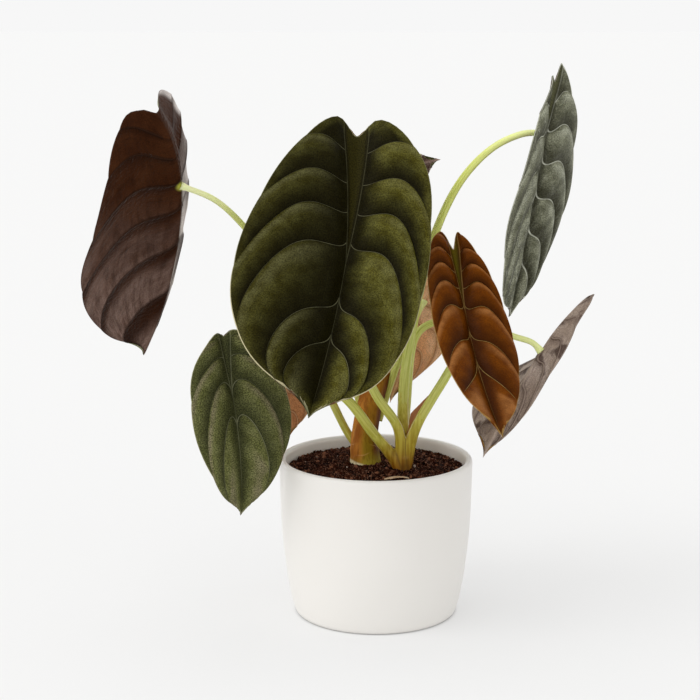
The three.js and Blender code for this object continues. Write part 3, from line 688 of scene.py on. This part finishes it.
def upper_side(name, light, mid, dark, line, channel, crest, inner, low, shade, gloss, ribs, rough=0.45,
               grain=1, lines=0.7, pucker=0.5, broad=1, net=0, shine=0.5, hem=None, dim=(1, 1)):
    """Upper side of a blade: panels in painted shade towards the midrib and the next vein, a painted
    highlight on their tops, grain and pale veins.
    """
    g = Skin(name)
    flat = g.vector("flat")
    phase = g.value("phase")
    across = g.value("across")
    grit = g.noise(flat, 1.15, 2, 0.7)
    blotch = g.noise(flat, 0.11, 3, 0.6)
    wander = g.noise(flat, 0.05, 2) - 0.5
    streak = g.noise(g.join(phase * 8, across * 1.7), 1.5, 3, 0.6)

    # Painted light and shade, how far a panel is painted lit: full just below its upper vein, none before the
    # next and beside the midrib
    part = g.math("FRACT", phase) + wander * 0.3
    falls = g.fall(part, *low)
    # inner gives each half the width beside the midrib that lies in painted shade
    wide = g.step("side", -0.5, 0.5, *inner)
    near = (across + wander * 0.2) / wide
    # a band along the margin stays painted lit
    band = g.step("edge", 2, 7, 0.55, 0)
    lit = falls * g.step(near, 0.1, 1)
    # dim sets how much painted light each half keeps, so that one half lies in painted shade
    lit = g.most(lit, band) * g.step("side", -0.5, 0.5, *dim)
    lit = lit * g.step(streak, 0.25, 0.7, 0.66, 1)
    lit = lit * g.step(g.noise(flat, 0.6, 3, 0.7), 0.3, 0.65, 0.84, 1.05)
    g.start(g.step(blotch, 0.32, 0.7), mid, light)
    # painted shade: the dark colour wherever the panel is not painted lit, as strong as shade
    g.lay(dark, (1 - lit) * shade)
    # Pale lines on the crinkled ridges: a painted highlight on their edges; the same ridges are also raised
    # in the bump below
    folds = g.noise(g.join(phase * 0.7, across * 4.5), 1, 2, 0.5, 0.4)
    ridges = g.fall(abs(folds - 0.5), 0, 0.035) * g.step("side", -0.2, 0.2, 1, 0.15)
    if net:
        g.lay(line, ridges * net)
    # Painted highlight: the crest colour laid on the top of each panel, just below its upper vein, as strong
    # as shine
    top = g.step(part, 0.02, 0.1) * g.fall(part, 0.12, 0.4) * g.step(across, 0.15, 0.5)
    g.lay(crest, top * g.step(blotch, 0.3, 0.7, 0.5 * shine, shine))

    # The channel of the midrib, then the grain, the veins and the margin over all
    rib = g.value("rib")
    beyond = g.step(rib, 0, 0.9)
    # The channel darkens towards its walls in painted shade
    groove = g.mix(g.step(rib, -3.2, -0.3, 0, 0.7), channel, dark)
    g.lay(groove, rib, -1.2, 0.3, 0.85, 0)
    g.tint(g.step(grit, 0.32, 0.68, 1 - 0.5 * grain, 1 + 0.55 * grain))
    vein = g.value("vein")
    fade = g.fall(across, 0.78, 0.97) * beyond
    # Painted shadow: a dark line beside each vein, where the panel above overhangs it
    g.lay(dark, g.fall(vein, 0.3, 1.5) * fade * (0.75 * shade))
    pale = g.fall(vein, 0.14 * broad, 0.46 * broad) * fade
    pale = g.most(pale, g.step(abs(rib), 0.15, 0.5, ribs, 0))
    pale = pale * g.step(g.noise(flat, 0.12, 2), 0.3, 0.6, 0.55, 1)
    g.lay(line, pale * lines)
    g.lay(line, "edge", 0.2, 0.5, 0.7, 0)
    if hem is not None:
        lower = g.step("round", 0.5, 0.7) * g.fall("round", 0.86, 0.94)
        g.lay(hem, g.step("edge", 0.3, 0.55, 0.9, 0) * lower)

    height = grit * 0.45 + streak * 0.7 + g.noise(flat, 0.35, 2) * 1.3 + ridges * (net * 4)
    g.bump(height, pucker, 0.0006)
    return g.surface(g.step(grit, 0.3, 0.7, rough + 0.08, rough - 0.06), Specular_IOR_Level=gloss)


def under_side(name, light, mid, dark, line, gloss=0.08, patches=0, painted_reflection=None, tipward_painted_sheen=None, lines=0.4,
               joint=None, sheen=0):
    """Underside of a blade: raised veins, puckered panels, painted shade below the veins, here and there a
    dark patch, and on some a painted sheen and reflection.
    """
    g = Skin(name)
    flat = g.vector("flat")
    phase = g.value("phase")
    across = g.value("across")
    part = g.math("FRACT", phase)
    streak = g.noise(g.join(phase * 6, across * 1.6), 1.5, 3, 0.6)
    cross = g.noise(g.join(phase * 1.6, across * 11), 1.5, 3, 0.6)
    grit = g.noise(flat, 1.3, 2, 0.7)
    g.start(g.step(g.noise(flat, 0.04, 3, 0.55), 0.35, 0.65), mid, light)
    # Painted sheen: pale streaks on the lit part of the panels towards the tip
    if tipward_painted_sheen is not None:
        tipward = g.step("round", 0.36, 0.72)
        along = g.noise(g.join(phase * 3, across * 3), 1.5, 3, 0.6)
        pale = g.step(part, 0.1, 0.45) * g.step(cross, 0.35, 0.65, 1, 0.7) * g.step(along, 0.35, 0.65, 0.6, 1)
        g.lay(tipward_painted_sheen, tipward * (pale * 0.95))
    # Painted shade on the part of each panel just below its vein
    g.lay(dark, part, 0, 0.35, 0.5, 0)
    g.lay(dark, cross, 0.45, 0.8, 0, 0.4)
    g.lay(dark, streak, 0.5, 0.8, 0, 0.35)
    if patches:
        g.lay(dark, g.noise(flat, 0.075, 2, 0.5), 0.5, 0.62, 0, patches)
    # Painted reflection: a pale sheet on the far half, towards its margin and tip, as a blade seen edge on
    # gives back the light
    if painted_reflection is not None:
        outer = g.most(g.step("round", 0.3, 0.5), g.step(across, 0.6, 0.8))
        far = g.fall("side", -0.2, 0.2) * outer
        far = far * g.step(g.noise(flat, 0.05, 3, 0.55), 0.3, 0.6, 0.5, 0.85)
        shine = g.most(g.step(part, 0.1, 0.7, 0.15, 0.9), g.step(across, 0.75, 0.98))
        g.lay(painted_reflection, far * shine)
    g.tint(g.step(grit, 0.3, 0.7, 0.78, 1.25))
    vein = g.value("vein")
    beyond = g.step("rib", 0, 1.2)
    fade = g.fall(across, 0.8, 0.98) * beyond
    g.lay(dark, g.fall(vein, 0.5, 2) * (fade * 0.55))
    crest = g.fall(vein, 0.2, 0.55) * fade
    crest = g.most(crest, g.fall(abs(g.part(flat, 0)), 0.4, 1.1))
    g.lay(line, crest * lines)
    g.lay(line, "edge", 0.3, 0.6, 0.5, 0)
    if joint is not None:
        g.lay(joint, g.length(flat), 1, 4.6, 0.9, 0)

    height = cross * 1.3 + streak + g.noise(flat, 0.3, 2) * 1.2 + grit * 0.2
    g.bump(height, 0.8, 0.0011)
    return g.surface(g.step(grit, 0.3, 0.7, 0.57, 0.45), Specular_IOR_Level=gloss, Sheen_Weight=sheen,
                     Sheen_Roughness=0.3, Sheen_Tint=(1, 0.95, 0.9))


def rim_of(name, colour, other):
    g = Skin(name)
    g.start(g.noise(g.vector("flat"), 0.35, 2), colour, other)
    g.bump(g.noise(g.vector("flat"), 0.9, 2), 0.2, 0.0003)
    return g.surface(0.5)


def stalk_material(name, upper):
    """Skin of a petiole: ribbed green, in the upper colour near the blade and olive brown at the base."""
    g = Skin(name)
    flat = g.vector("flat")
    lines = g.noise(g.stretch(flat, (1, 1, 0.03)), 1.6, 3, 0.6)
    spots = g.noise(g.stretch(flat, (1, 1, 0.35)), 1.1, 3, 0.7)
    g.start(g.step(lines, 0.3, 0.7), (0.47, 0.51, 0.07), (0.7, 0.74, 0.22))
    g.lay(upper, "blade", 0, 60, 0.8, 0)
    g.lay(g.mix(g.step(lines, 0.3, 0.7), (0.4, 0.31, 0.015), (0.6, 0.54, 0.08)), "level", 112, 185, 0.8, 0)
    g.lay((0.2, 0.15, 0.02), spots, 0.6, 0.8, 0, 0.3)
    g.bump(lines + spots * 0.4, 0.35, 0.0006)
    return g.surface(g.step(spots, 0.3, 0.7, 0.34, 0.46), Specular_IOR_Level=0.45,
                     Subsurface_Weight=0.12, Subsurface_Radius=(0.002, 0.003, 0.001), Subsurface_Scale=0.5)


def pot_material():
    g = Skin("satin_glaze")
    where = g.place()
    broad = g.noise(where, 14, 2)
    fine = g.noise(where, 260, 2, 0.6)
    g.start(broad, (0.79, 0.765, 0.725), (0.83, 0.808, 0.768))
    g.lay((0.62, 0.59, 0.54), fine, 0.68, 0.8, 0, 0.1)
    # Painted light: the inner wall is painted lighter than the glaze outside
    g.lay((0.93, 0.885, 0.83), "inside")
    g.bump(fine * 0.2 + broad, 0.12, 0.0006)
    return g.surface(g.step(fine, 0.3, 0.7, 0.36, 0.46), Specular_IOR_Level=0.4, Coat_Weight=0.12,
                     Coat_Roughness=0.3)


def soil_material():
    g = Skin("potting_mix")
    where = g.place()
    grains = g.noise(where, 900, 3, 0.7)
    lumps = g.noise(where, 190, 3, 0.6)
    g.start(g.step(lumps, 0.35, 0.65), (0.004, 0.0004, 0.0002), (0.042, 0.009, 0.003))
    g.lay((0.4, 0.2, 0.125), grains, 0.56, 0.66, 0, 0.95)
    g.lay((0.24, 0.1, 0.055), "kind", 0.84, 0.9, 0, 0.85)
    g.lay((0.6, 0.52, 0.44), "kind", 0.985, 0.99, 0, 0.9)
    g.bump(grains + lumps, 0.8, 0.0008)
    return g.surface(0.8, Specular_IOR_Level=0.04)


def sheath_material():
    g = Skin("old_sheath")
    where = g.place()
    fibres = g.noise(g.stretch(where, (1, 1, 0.06)), 620, 3, 0.65)
    patches = g.noise(g.stretch(where, (1, 1, 0.35)), 95, 3, 0.6)
    level = g.value("level")
    turn = g.value("turn")
    g.start(g.step(patches, 0.34, 0.66), (0.56, 0.22, 0.03), (0.3, 0.09, 0.008))
    streak = g.step(turn, -0.45, 0.1) * g.fall(turn, 0.5, 0.85)
    g.lay((0.3, 0.2, 0.008), streak * g.step(level, 150, 110, 0.3, 0.95))
    # Painted shade: darker on the side turned to the right, away from the key
    g.lay((0.11, 0.028, 0.002), turn, 0.4, 0.9, 0, 0.9)
    g.lay((0.44, 0.35, 0.035), level - turn * 3, 103, 113, 0.8, 0)
    g.lay((0.85, 0.76, 0.48), level + turn * 2.5, 103.6, 105.4, 0.9, 0)
    g.lay((0.09, 0.024, 0.002), fibres, 0.5, 0.68, 0, 0.42)
    g.lay((0.66, 0.36, 0.12), "scar", 0.15, 0.9, 0, 0.45)
    g.bump(fibres + patches, 0.7, 0.001)
    return g.surface(g.step(fibres, 0.3, 0.7, 0.45, 0.6), Specular_IOR_Level=0.1)


def crown_material():
    g = Skin("leaf_bases")
    where = g.place()
    fibres = g.noise(g.stretch(where, (1, 1, 0.05)), 560, 3, 0.6)
    patches = g.noise(where, 120, 2)
    level = g.value("level")
    g.start(g.step(fibres, 0.3, 0.7), (0.33, 0.22, 0.009), (0.56, 0.44, 0.05))
    g.lay(g.mix(g.step(fibres, 0.3, 0.7), (0.44, 0.41, 0.04), (0.65, 0.64, 0.14)), "upper", 0.3, 1)
    g.lay(g.mix(g.step(fibres, 0.3, 0.7), (0.2, 0.05, 0.002), (0.4, 0.17, 0.016)), level, 104, 124, 0.9, 0)
    # Painted shade in the creases between sheaths
    g.lay((0.1, 0.05, 0.004), g.value("crease") * 0.6)
    g.lay(g.mix(patches, (0.24, 0.075, 0.02), (0.42, 0.17, 0.055)), "web", 0, 1)
    g.lay((0.3, 0.12, 0.02), patches, 0.6, 0.8, 0, 0.35)
    g.lay((0.78, 0.68, 0.4), "seam", 0.2, 0.9, 0, 0.75)
    g.bump(fibres + (patches + g.value("seam")), 0.5, 0.0008)
    return g.surface(g.step(fibres, 0.3, 0.7, 0.36, 0.48), Specular_IOR_Level=0.25)


def bark_material():
    g = Skin("dry_scrap")
    where = g.place()
    fibres = g.noise(g.stretch(where, (0.12, 1, 1)), 1400, 3, 0.7)
    g.start(g.step(fibres, 0.35, 0.65), (0.72, 0.54, 0.36), (0.4, 0.24, 0.12))
    g.bump(fibres, 0.8, 0.0006)
    return g.surface(0.75, Specular_IOR_Level=0.3)


def floor_material():
    g = Skin("studio_floor")
    where = g.place()
    g.start(g.noise(where, 3, 2), [q * (1 - FLOOR_GLOW) for q in FLOOR_TONE],
            [q * (1 - FLOOR_GLOW) * 1.008 for q in FLOOR_TONE])
    # Painted light: the floor glows to lift the shadows on it, except under the pot's foot
    g.put(g.inputs["Emission Color"], (1, 1, 0.996))
    under = g.step(g.length(where), *FLOOR_GLOW_FROM)
    g.put(g.inputs["Emission Strength"], under * (FLOOR_GLOW * BACKDROP))
    return g.surface(0.9, Specular_IOR_Level=0)


cream = rim_of("blade_rim_cream", (0.66, 0.6, 0.38), (0.4, 0.36, 0.16))
pinkish = rim_of("blade_rim_pink", (0.5, 0.32, 0.2), (0.3, 0.16, 0.08))
brownish = rim_of("blade_rim_brown", (0.07, 0.04, 0.03), (0.04, 0.02, 0.014))
silver = rim_of("blade_rim_silver", (0.2, 0.22, 0.15), (0.09, 0.1, 0.06))
rosy = rim_of("blade_rim_rosy", (0.75, 0.62, 0.52), (0.5, 0.38, 0.3))

# In these calls crest is the colour of a painted highlight, and shade, low, inner and dim set the painted
# shade
olive = upper_side(
    "olive_front", light=(0.12, 0.113, 0.025), mid=(0.066, 0.058, 0.006), dark=(0.0032, 0.0022, 0.0002),
    line=(0.24, 0.23, 0.12), channel=(0.022, 0.0185, 0.0022), inner=(0.76, 0.3), low=(0.22, 1), shade=0.95,
    gloss=0.03, lines=0.4, ribs=0.35, crest=(0.135, 0.13, 0.06), shine=0.3, hem=(0.56, 0.5, 0.31),
    dim=(0.5, 1))
greyish = upper_side(
    "olive_grey", light=(0.165, 0.17, 0.062), mid=(0.105, 0.11, 0.032), dark=(0.02, 0.022, 0.008),
    line=(0.26, 0.26, 0.15), channel=(0.062, 0.066, 0.024), inner=(0.28, 0.25), low=(0.3, 1), shade=0.8,
    gloss=0.05, rough=0.5, grain=1.3, ribs=0.6, crest=(0.22, 0.18, 0.12), shine=0.6)
silvery = upper_side(
    "silver_green", light=(0.27, 0.275, 0.19), mid=(0.12, 0.122, 0.076), dark=(0.018, 0.017, 0.006),
    line=(0.74, 0.75, 0.62), channel=(0.1, 0.1, 0.045), inner=(0.25, 0.16), low=(0.2, 0.95), shade=0.85,
    gloss=0.08, lines=0.8, ribs=0.25, pucker=1, broad=2, net=0.22, crest=(0.46, 0.47, 0.37))
copper = upper_side(
    "copper_orange", light=(0.15, 0.04, 0.0012), mid=(0.108, 0.026, 0.0005), dark=(0.022, 0.0045, 0.0001),
    line=(0.36, 0.23, 0.07), channel=(0.075, 0.06, 0.002), inner=(0.2, 0.42), low=(0.4, 1), shade=0.82,
    gloss=0.03, rough=0.36, grain=0.3, ribs=0.5, pucker=0.3, crest=(0.42, 0.18, 0.055))
maroon = under_side(
    "maroon_under", light=(0.07, 0.022, 0.007), mid=(0.042, 0.012, 0.004), dark=(0.012, 0.0035, 0.0012),
    line=(0.16, 0.07, 0.03), gloss=0.06, tipward_painted_sheen=(0.16, 0.085, 0.062), joint=(0.5, 0.5, 0.08), sheen=0.15)
painted_reflection_maroon = under_side(
    "maroon_painted_reflection", light=(0.052, 0.0165, 0.005), mid=(0.035, 0.0098, 0.0026),
    dark=(0.008, 0.0022, 0.0006), line=(0.05, 0.024, 0.014), gloss=0.03, painted_reflection=(0.85, 0.78, 0.73),
    tipward_painted_sheen=(0.25, 0.165, 0.135), lines=0.3, joint=(0.5, 0.5, 0.08), sheen=0.1)
pink_grey = under_side(
    "pinkish_under", light=(0.46, 0.37, 0.31), mid=(0.3, 0.225, 0.175), dark=(0.055, 0.028, 0.02),
    line=(0.45, 0.35, 0.28), patches=0.85, gloss=0.12)
salmon = under_side(
    "salmon_under", light=(0.62, 0.32, 0.15), mid=(0.5, 0.22, 0.09), dark=(0.2, 0.07, 0.022),
    line=(0.6, 0.38, 0.2))
# A lighter copy of the salmon underside: painted light for the blade that stands in shade at the back
salmon_painted_light = under_side(
    "salmon_under_painted_light", light=(0.92, 0.6, 0.38), mid=(0.78, 0.4, 0.2), dark=(0.34, 0.13, 0.05),
    line=(0.8, 0.55, 0.34))
plum = under_side(
    "plum_under", light=(0.24, 0.15, 0.12), mid=(0.14, 0.08, 0.06), dark=(0.03, 0.012, 0.009),
    line=(0.4, 0.3, 0.25))

skins = dict(
    front_large=(olive, maroon, cream, "olive_leaf"),
    left=(greyish, painted_reflection_maroon, brownish, "maroon_leaf"),
    lower_left=(greyish, maroon, cream, "olive_leaf"),
    top_right=(silvery, maroon, silver, "olive_leaf"),
    right_copper=(copper, pink_grey, pinkish, "copper_leaf"),
    far_right=(copper, pink_grey, brownish, "maroon_leaf"),
    rear_lower=(copper, salmon_painted_light, pinkish, "copper_leaf"),
    rear_upper=(olive, plum, rosy, "maroon_leaf"),
    rear_left=(copper, salmon, pinkish, "copper_leaf"),
)
stalk = stalk_material("petiole_skin", (0.84, 0.89, 0.4))
pale_stalk = stalk_material("petiole_pale", (0.95, 0.98, 0.56))
for name, (*sides, slot) in skins.items():
    make_leaf(name, slot, sides)
    make_petiole(name, pale_stalk if name == "left" else stalk)


# Pot

def make_pot():
    """Rings of the profile, which runs from the middle of the underside round the lip to the inside."""
    profile = np.array(POT_PROFILE, float)
    fine = []
    for p, q in zip(profile[:-1], profile[1:]):
        steps = max(1, int(np.linalg.norm(q - p) / POT_STEP))
        fine += [p + (q - p) * (i + 1) / steps for i in range(steps)]
    radius, height = np.array(fine[:-1]).T[..., None]
    angles = turns(POT_SEGMENTS)
    rings = np.stack([radius * np.cos(angles), radius * np.sin(angles), height + 0 * angles], -1)
    # Rings past the lip, which the material paints lighter as painted light
    painted_light_inside = np.arange(len(height)) > height.argmax() + POT_LIP_RINGS
    vertices = capped(rings, (0, 0, profile[0, 1]), (0, 0, profile[-1, 1]))
    make_piece("glazed_pot", "pot", "pot_glaze", vertices, tube_faces(len(height), POT_SEGMENTS),
               [pot_material()], inside=np.append(np.repeat(painted_light_inside, POT_SEGMENTS), [0, 1]))


# Soil

def soil_level(x, y):
    share = np.hypot(x, y) / SOIL_RADIUS
    return SOIL_EDGE + SOIL_MOUND * (1 - np.minimum(share, 1) ** SOIL_MOUND_POWER)


def lump_shapes(rng):
    """A few uneven balls that the crumbs are copies of, as points and triangles."""
    t = (1 + 5 ** 0.5) / 2
    base = unit(np.array([np.roll((p, q * t, 0), k) for k in range(3) for q in (1, -1) for p in (-1, 1)]))
    faces = [(0, 11, 5), (0, 5, 1), (0, 1, 7), (0, 7, 10), (0, 10, 11), (1, 5, 9), (5, 11, 4), (11, 10, 2),
             (10, 7, 6), (7, 1, 8), (3, 9, 4), (3, 4, 2), (3, 2, 6), (3, 6, 8), (3, 8, 9), (4, 9, 5),
             (2, 4, 11), (6, 2, 10), (8, 6, 7), (9, 8, 1)]
    shapes = [base * rng.uniform(0.65, 1.2, 3) * rng.uniform(0.75, 1.2, (len(base), 1))
              for _ in range(CRUMB_SHAPES)]
    return shapes, np.array(faces)


def make_soil():
    rng = np.random.default_rng(SOIL_SEED)
    radial = np.linspace(1, SOIL_RADIUS, SOIL_RINGS)
    angles = turns(SOIL_SEGMENTS)
    x, y = np.outer(radial, np.cos(angles)), np.outer(radial, np.sin(angles))
    seeds = rng.uniform(-LUMP_SPREAD, LUMP_SPREAD, (SOIL_LUMPS, 2))
    sizes = rng.uniform(*LUMP_SIZE, SOIL_LUMPS)
    tops = rng.uniform(*LUMP_TOP, SOIL_LUMPS)
    level = np.zeros_like(x)
    for (sx, sy), size, top in zip(seeds, sizes, tops):
        far = math.hypot(sx, sy)
        near = slice(*np.searchsorted(radial, [far - size, far + size]))
        gap2 = ((x[near] - sx) ** 2 + (y[near] - sy) ** 2) / size ** 2
        level[near] = np.maximum(level[near], np.sqrt(np.maximum(1 - gap2, 0)) * size * top)
    z = soil_level(x, y) - LUMP_FOOT + np.minimum(level, LUMP_MOST)
    z[-1] = SOIL_EDGE - SOIL_RIM_DROP
    bed = np.stack([x, y, z], -1)
    deep = np.stack([x[-1], y[-1], np.full(SOIL_SEGMENTS, SOIL_BOTTOM)], -1)
    vertices = capped([*bed, deep], (0, 0, soil_level(0, 0)), (0, 0, SOIL_BOTTOM))
    faces = [face[::-1] for face in tube_faces(SOIL_RINGS + 1, SOIL_SEGMENTS)]

    # Loose crumbs, half sunk into the bed
    shapes, shape_faces = lump_shapes(rng)
    crumbs, tones = [vertices], [0] * len(vertices)
    while len(crumbs) <= CRUMBS:
        px, py = rng.uniform(-SOIL_RADIUS, SOIL_RADIUS, 2)
        size = CRUMB_LEAST + CRUMB_MORE * rng.random() ** CRUMB_POWER
        tone = rng.random()
        turn = rng.uniform(0, 2 * PI)
        lift = rng.uniform(*CRUMB_LIFT)
        if math.hypot(px, py) > SOIL_RADIUS - size or any(
                math.hypot(px - a, py - b) < r + size * 0.4 for a, b, r in CRUMB_FREE):
            continue
        shape = shapes[(len(crumbs) - 1) % CRUMB_SHAPES] * size
        c, s = math.cos(turn), math.sin(turn)
        turned = np.stack([c * shape[:, 0] - s * shape[:, 1], s * shape[:, 0] + c * shape[:, 1],
                           shape[:, 2]], -1)
        faces += (shape_faces + len(tones)).tolist()
        crumbs.append(turned + (px, py, soil_level(px, py) + lift * size))
        tones += [tone] * len(shape)
    make_piece("potting_soil", "soil", "potting_soil", np.concatenate(crumbs), faces, [soil_material()],
               smooth=False, kind=tones)


# Old stem and crown

def make_rear_stem():
    radii, path = REAR_STEM
    places, ways, at, whole = curve_points(path, REAR_RINGS)
    sizes = between(radii, at / whole)
    level = places[:, 2]

    def shape(w, i):
        scar = 0
        for height, tilt, turn in REAR_SCARS:
            edge = level[i] - (height + tilt * np.sin(w + turn))
            scar = scar + SCAR_STEP / (1 + np.exp(np.clip(edge * 3.5, -30, 30)))
        ribs = 0.014 * np.sin(9 * w + 0.05 * level[i]) + 0.009 * np.sin(17 * w + 1)
        return REAR_INNER + scar + REAR_FLARE * bell(level[i] - REAR_FOOT, 5) + ribs

    rings, angles = tube(places, ways, sizes, REAR_SIDES, shape)
    vertices = capped(rings, places[0], places[-1])
    # How far round to the right each point lies; the material paints that side in painted shade
    turn = (rings - places[:, None])[..., 0] / column(sizes)
    scar = np.zeros_like(turn)
    for height, tilt, phase in REAR_SCARS:
        edge = column(level) - (height + tilt * np.sin(angles + phase) + 0.5 * np.sin(5 * angles + height))
        scar = np.maximum(scar, bell(edge, SCAR_WIDE) * (0.5 + 0.5 * np.sin(3 * angles + 2 * phase)))
    make_piece("old_stem", "rear_pseudostem", "old_stem", vertices, tube_faces(REAR_RINGS, REAR_SIDES),
               [sheath_material()], level=vertices[:, 2], turn=np.append(turn, [0, 0]),
               scar=np.append(scar, [0, 0]))


def sheath_line(name):
    """Places, ways and radii of a sheath: narrow in the root, widest where its stem starts, and then
    closing on the stem. The last values tell how far each place lies up the stem."""
    length, bottom = CROWN_SHEATHS[name]
    path = stem_path(name)
    foot = math.dist(SHEATH_FOOT, path[0])
    places, ways, at, whole = curve_points([SHEATH_FOOT, *path], SHEATH_RINGS, foot + length)
    end = between(STEMS[name][0], length / (whole - foot)) + SHEATH_END
    below = between((SHEATH_FOOT_RADIUS, bottom), smoothstep(at, 0, foot))
    above = between((end, bottom), np.clip(1 - (at - foot) / length, 0, 1) ** 1.4)
    return places, ways, np.where(at < foot, below, above), at - foot


def make_crown():
    radii, path = CROWN_ROOT
    places, ways, at, whole = curve_points(path, ROOT_RINGS)
    parts = [closed_tube(places, ways, between(radii, at / whole), CROWN_SIDES)]
    parts += [closed_tube(*sheath_line(name)[:3], CROWN_SIDES) for name in CROWN_SHEATHS]
    corners = np.array(CROWN_WEB, float)
    normal = unit(np.cross(corners[1] - corners[0], corners[2] - corners[0]))
    parts.append(([p + s * WEB_HALF * normal for p in corners for s in (1, -1)],
                  [[0, 2, 4], [1, 5, 3], [0, 1, 3, 2], [2, 3, 5, 4], [4, 5, 1, 0]]))
    points, faces = fused(parts)

    # Each point belongs to the sheath that it lies nearest to
    nearest, second = np.full((2, len(points)), np.inf)
    upper, seam = np.zeros((2, len(points)))
    for name, (length, _) in CROWN_SHEATHS.items():
        places, _, sizes, at = sheath_line(name)
        gaps = np.linalg.norm(points[:, None] - places, axis=2) / sizes
        best, off = gaps.argmin(1), gaps.min(1)
        won = off < nearest
        second = np.where(won, nearest, np.minimum(second, off))
        nearest[won] = off[won]
        upper[won] = np.clip(at[best[won]] / length, 0, 1)
        away = points[won] - places[best[won]]
        turned = np.abs(np.arctan2(away[:, 0], -away[:, 1]))
        seam[won] = bell(turned - SEAM_TURN, SEAM_WIDE) * smoothstep(upper[won], 0.3, 0.5)

    # The web's own brown ends 2.2 mm beside its plane and 1.6 mm beyond its edges
    centre = corners.mean(0)
    web = smoothstep(2.2 - np.abs((points - centre) @ normal), 0, 0.8)
    for corner, after in zip(corners, np.roll(corners, -1, 0)):
        inward = np.cross(normal, after - corner)
        inward = unit(inward) * np.sign(inward @ (centre - corner))
        web = web * smoothstep((points - corner) @ inward, -1.6, 0.2)
    # crease holds the painted shade where two sheaths meet
    make_piece("crown_base", "front_crown", "crown_stem", points, faces, [crown_material()],
               level=points[:, 2], web=web, upper=upper, seam=seam * (1 - web),
               crease=bell(second - nearest, CREASE_SHADE_WIDTH) * (1 - web))


def make_bark():
    """A scrap with ragged sides that arches up in its middle and curls down at its sides."""
    long, wide, thick = BARK_SIZE
    t = np.linspace(-0.5, 0.5, BARK_RINGS)[:, None]
    rng = np.random.default_rng(BARK_SEED)
    ragged = 1 - 1.6 * t ** 2 + 0.1 * rng.standard_normal(t.shape)
    angles = turns(BARK_SIDES)
    x = t * long
    y = np.cos(angles) * wide / 2 * ragged + 0.5 * np.sin(t * 7)
    z = np.sin(angles) * thick / 2 + 0.5 + 1.4 * (1 - 4 * t ** 2) - 0.35 * (y / (wide / 2)) ** 2
    c, s = math.cos(BARK_TURN), math.sin(BARK_TURN)
    rings = np.stack([x * c - y * s, x * s + y * c, z], -1) + BARK_AT
    vertices = capped(rings, rings[0].mean(0), rings[-1].mean(0))
    make_piece("sheath_scrap", "bark_scrap", "dry_sheath", vertices, tube_faces(BARK_RINGS, BARK_SIDES),
               [bark_material()])


make_pot()
make_soil()
make_rear_stem()
make_crown()
make_bark()


# Stage, light and camera

floor_mesh = bpy.data.meshes.new("floor")
ring = [(FLOOR_RADIUS * math.cos(w), FLOOR_RADIUS * math.sin(w), 0) for w in turns(FLOOR_SIDES).tolist()]
floor_mesh.from_pydata(ring, [], [list(range(FLOOR_SIDES))])
floor_mesh.materials.append(floor_material())
floor = add("floor", floor_mesh)

turn, rise = math.radians(KEY_TURN), math.radians(KEY_RISE)
key = bpy.data.lights.new("key", "SUN")
key.angle = math.radians(KEY_WIDTH)
key.energy = KEY_STRENGTH
add("key", key).rotation_euler = (PI / 2 - rise, 0, turn)

# Studio surroundings: dim above, brighter round the key, and as bright as the floor at the horizon
world = bpy.data.worlds.new("studio")
bpy.context.scene.world = world
world.use_nodes = True
g = Graph(world.node_tree)
way = g.node("TexCoord", {}, "Generated")
key_way = (math.cos(rise) * math.sin(turn), -math.cos(rise) * math.cos(turn), math.sin(rise))
towards = g.node("VectorMath", {0: way, 1: key_way}, "Value", operation="DOT_PRODUCT")
glow = g.step(towards, -0.1, 1, WORLD_DIM, WORLD_BRIGHT)
horizon = g.fall(g.part(way, 2), *WORLD_HORIZON)
background = g.tree.nodes["Background"].inputs
g.put(background["Color"], (1, 1, 1, 1))
g.put(background["Strength"], glow * (1 - horizon) + horizon * BACKDROP)

view = bpy.data.cameras.new("camera")
view.sensor_width = 36
view.lens = CAMERA_LENS
view.clip_end = FLOOR_RADIUS
camera = add("camera", view)
camera.location = CAMERA_AT
camera.rotation_euler = (math.radians(90 - CAMERA_DOWN), 0, 0)
bpy.context.scene.camera = camera
bpy.context.scene.view_settings.view_transform = "Standard"
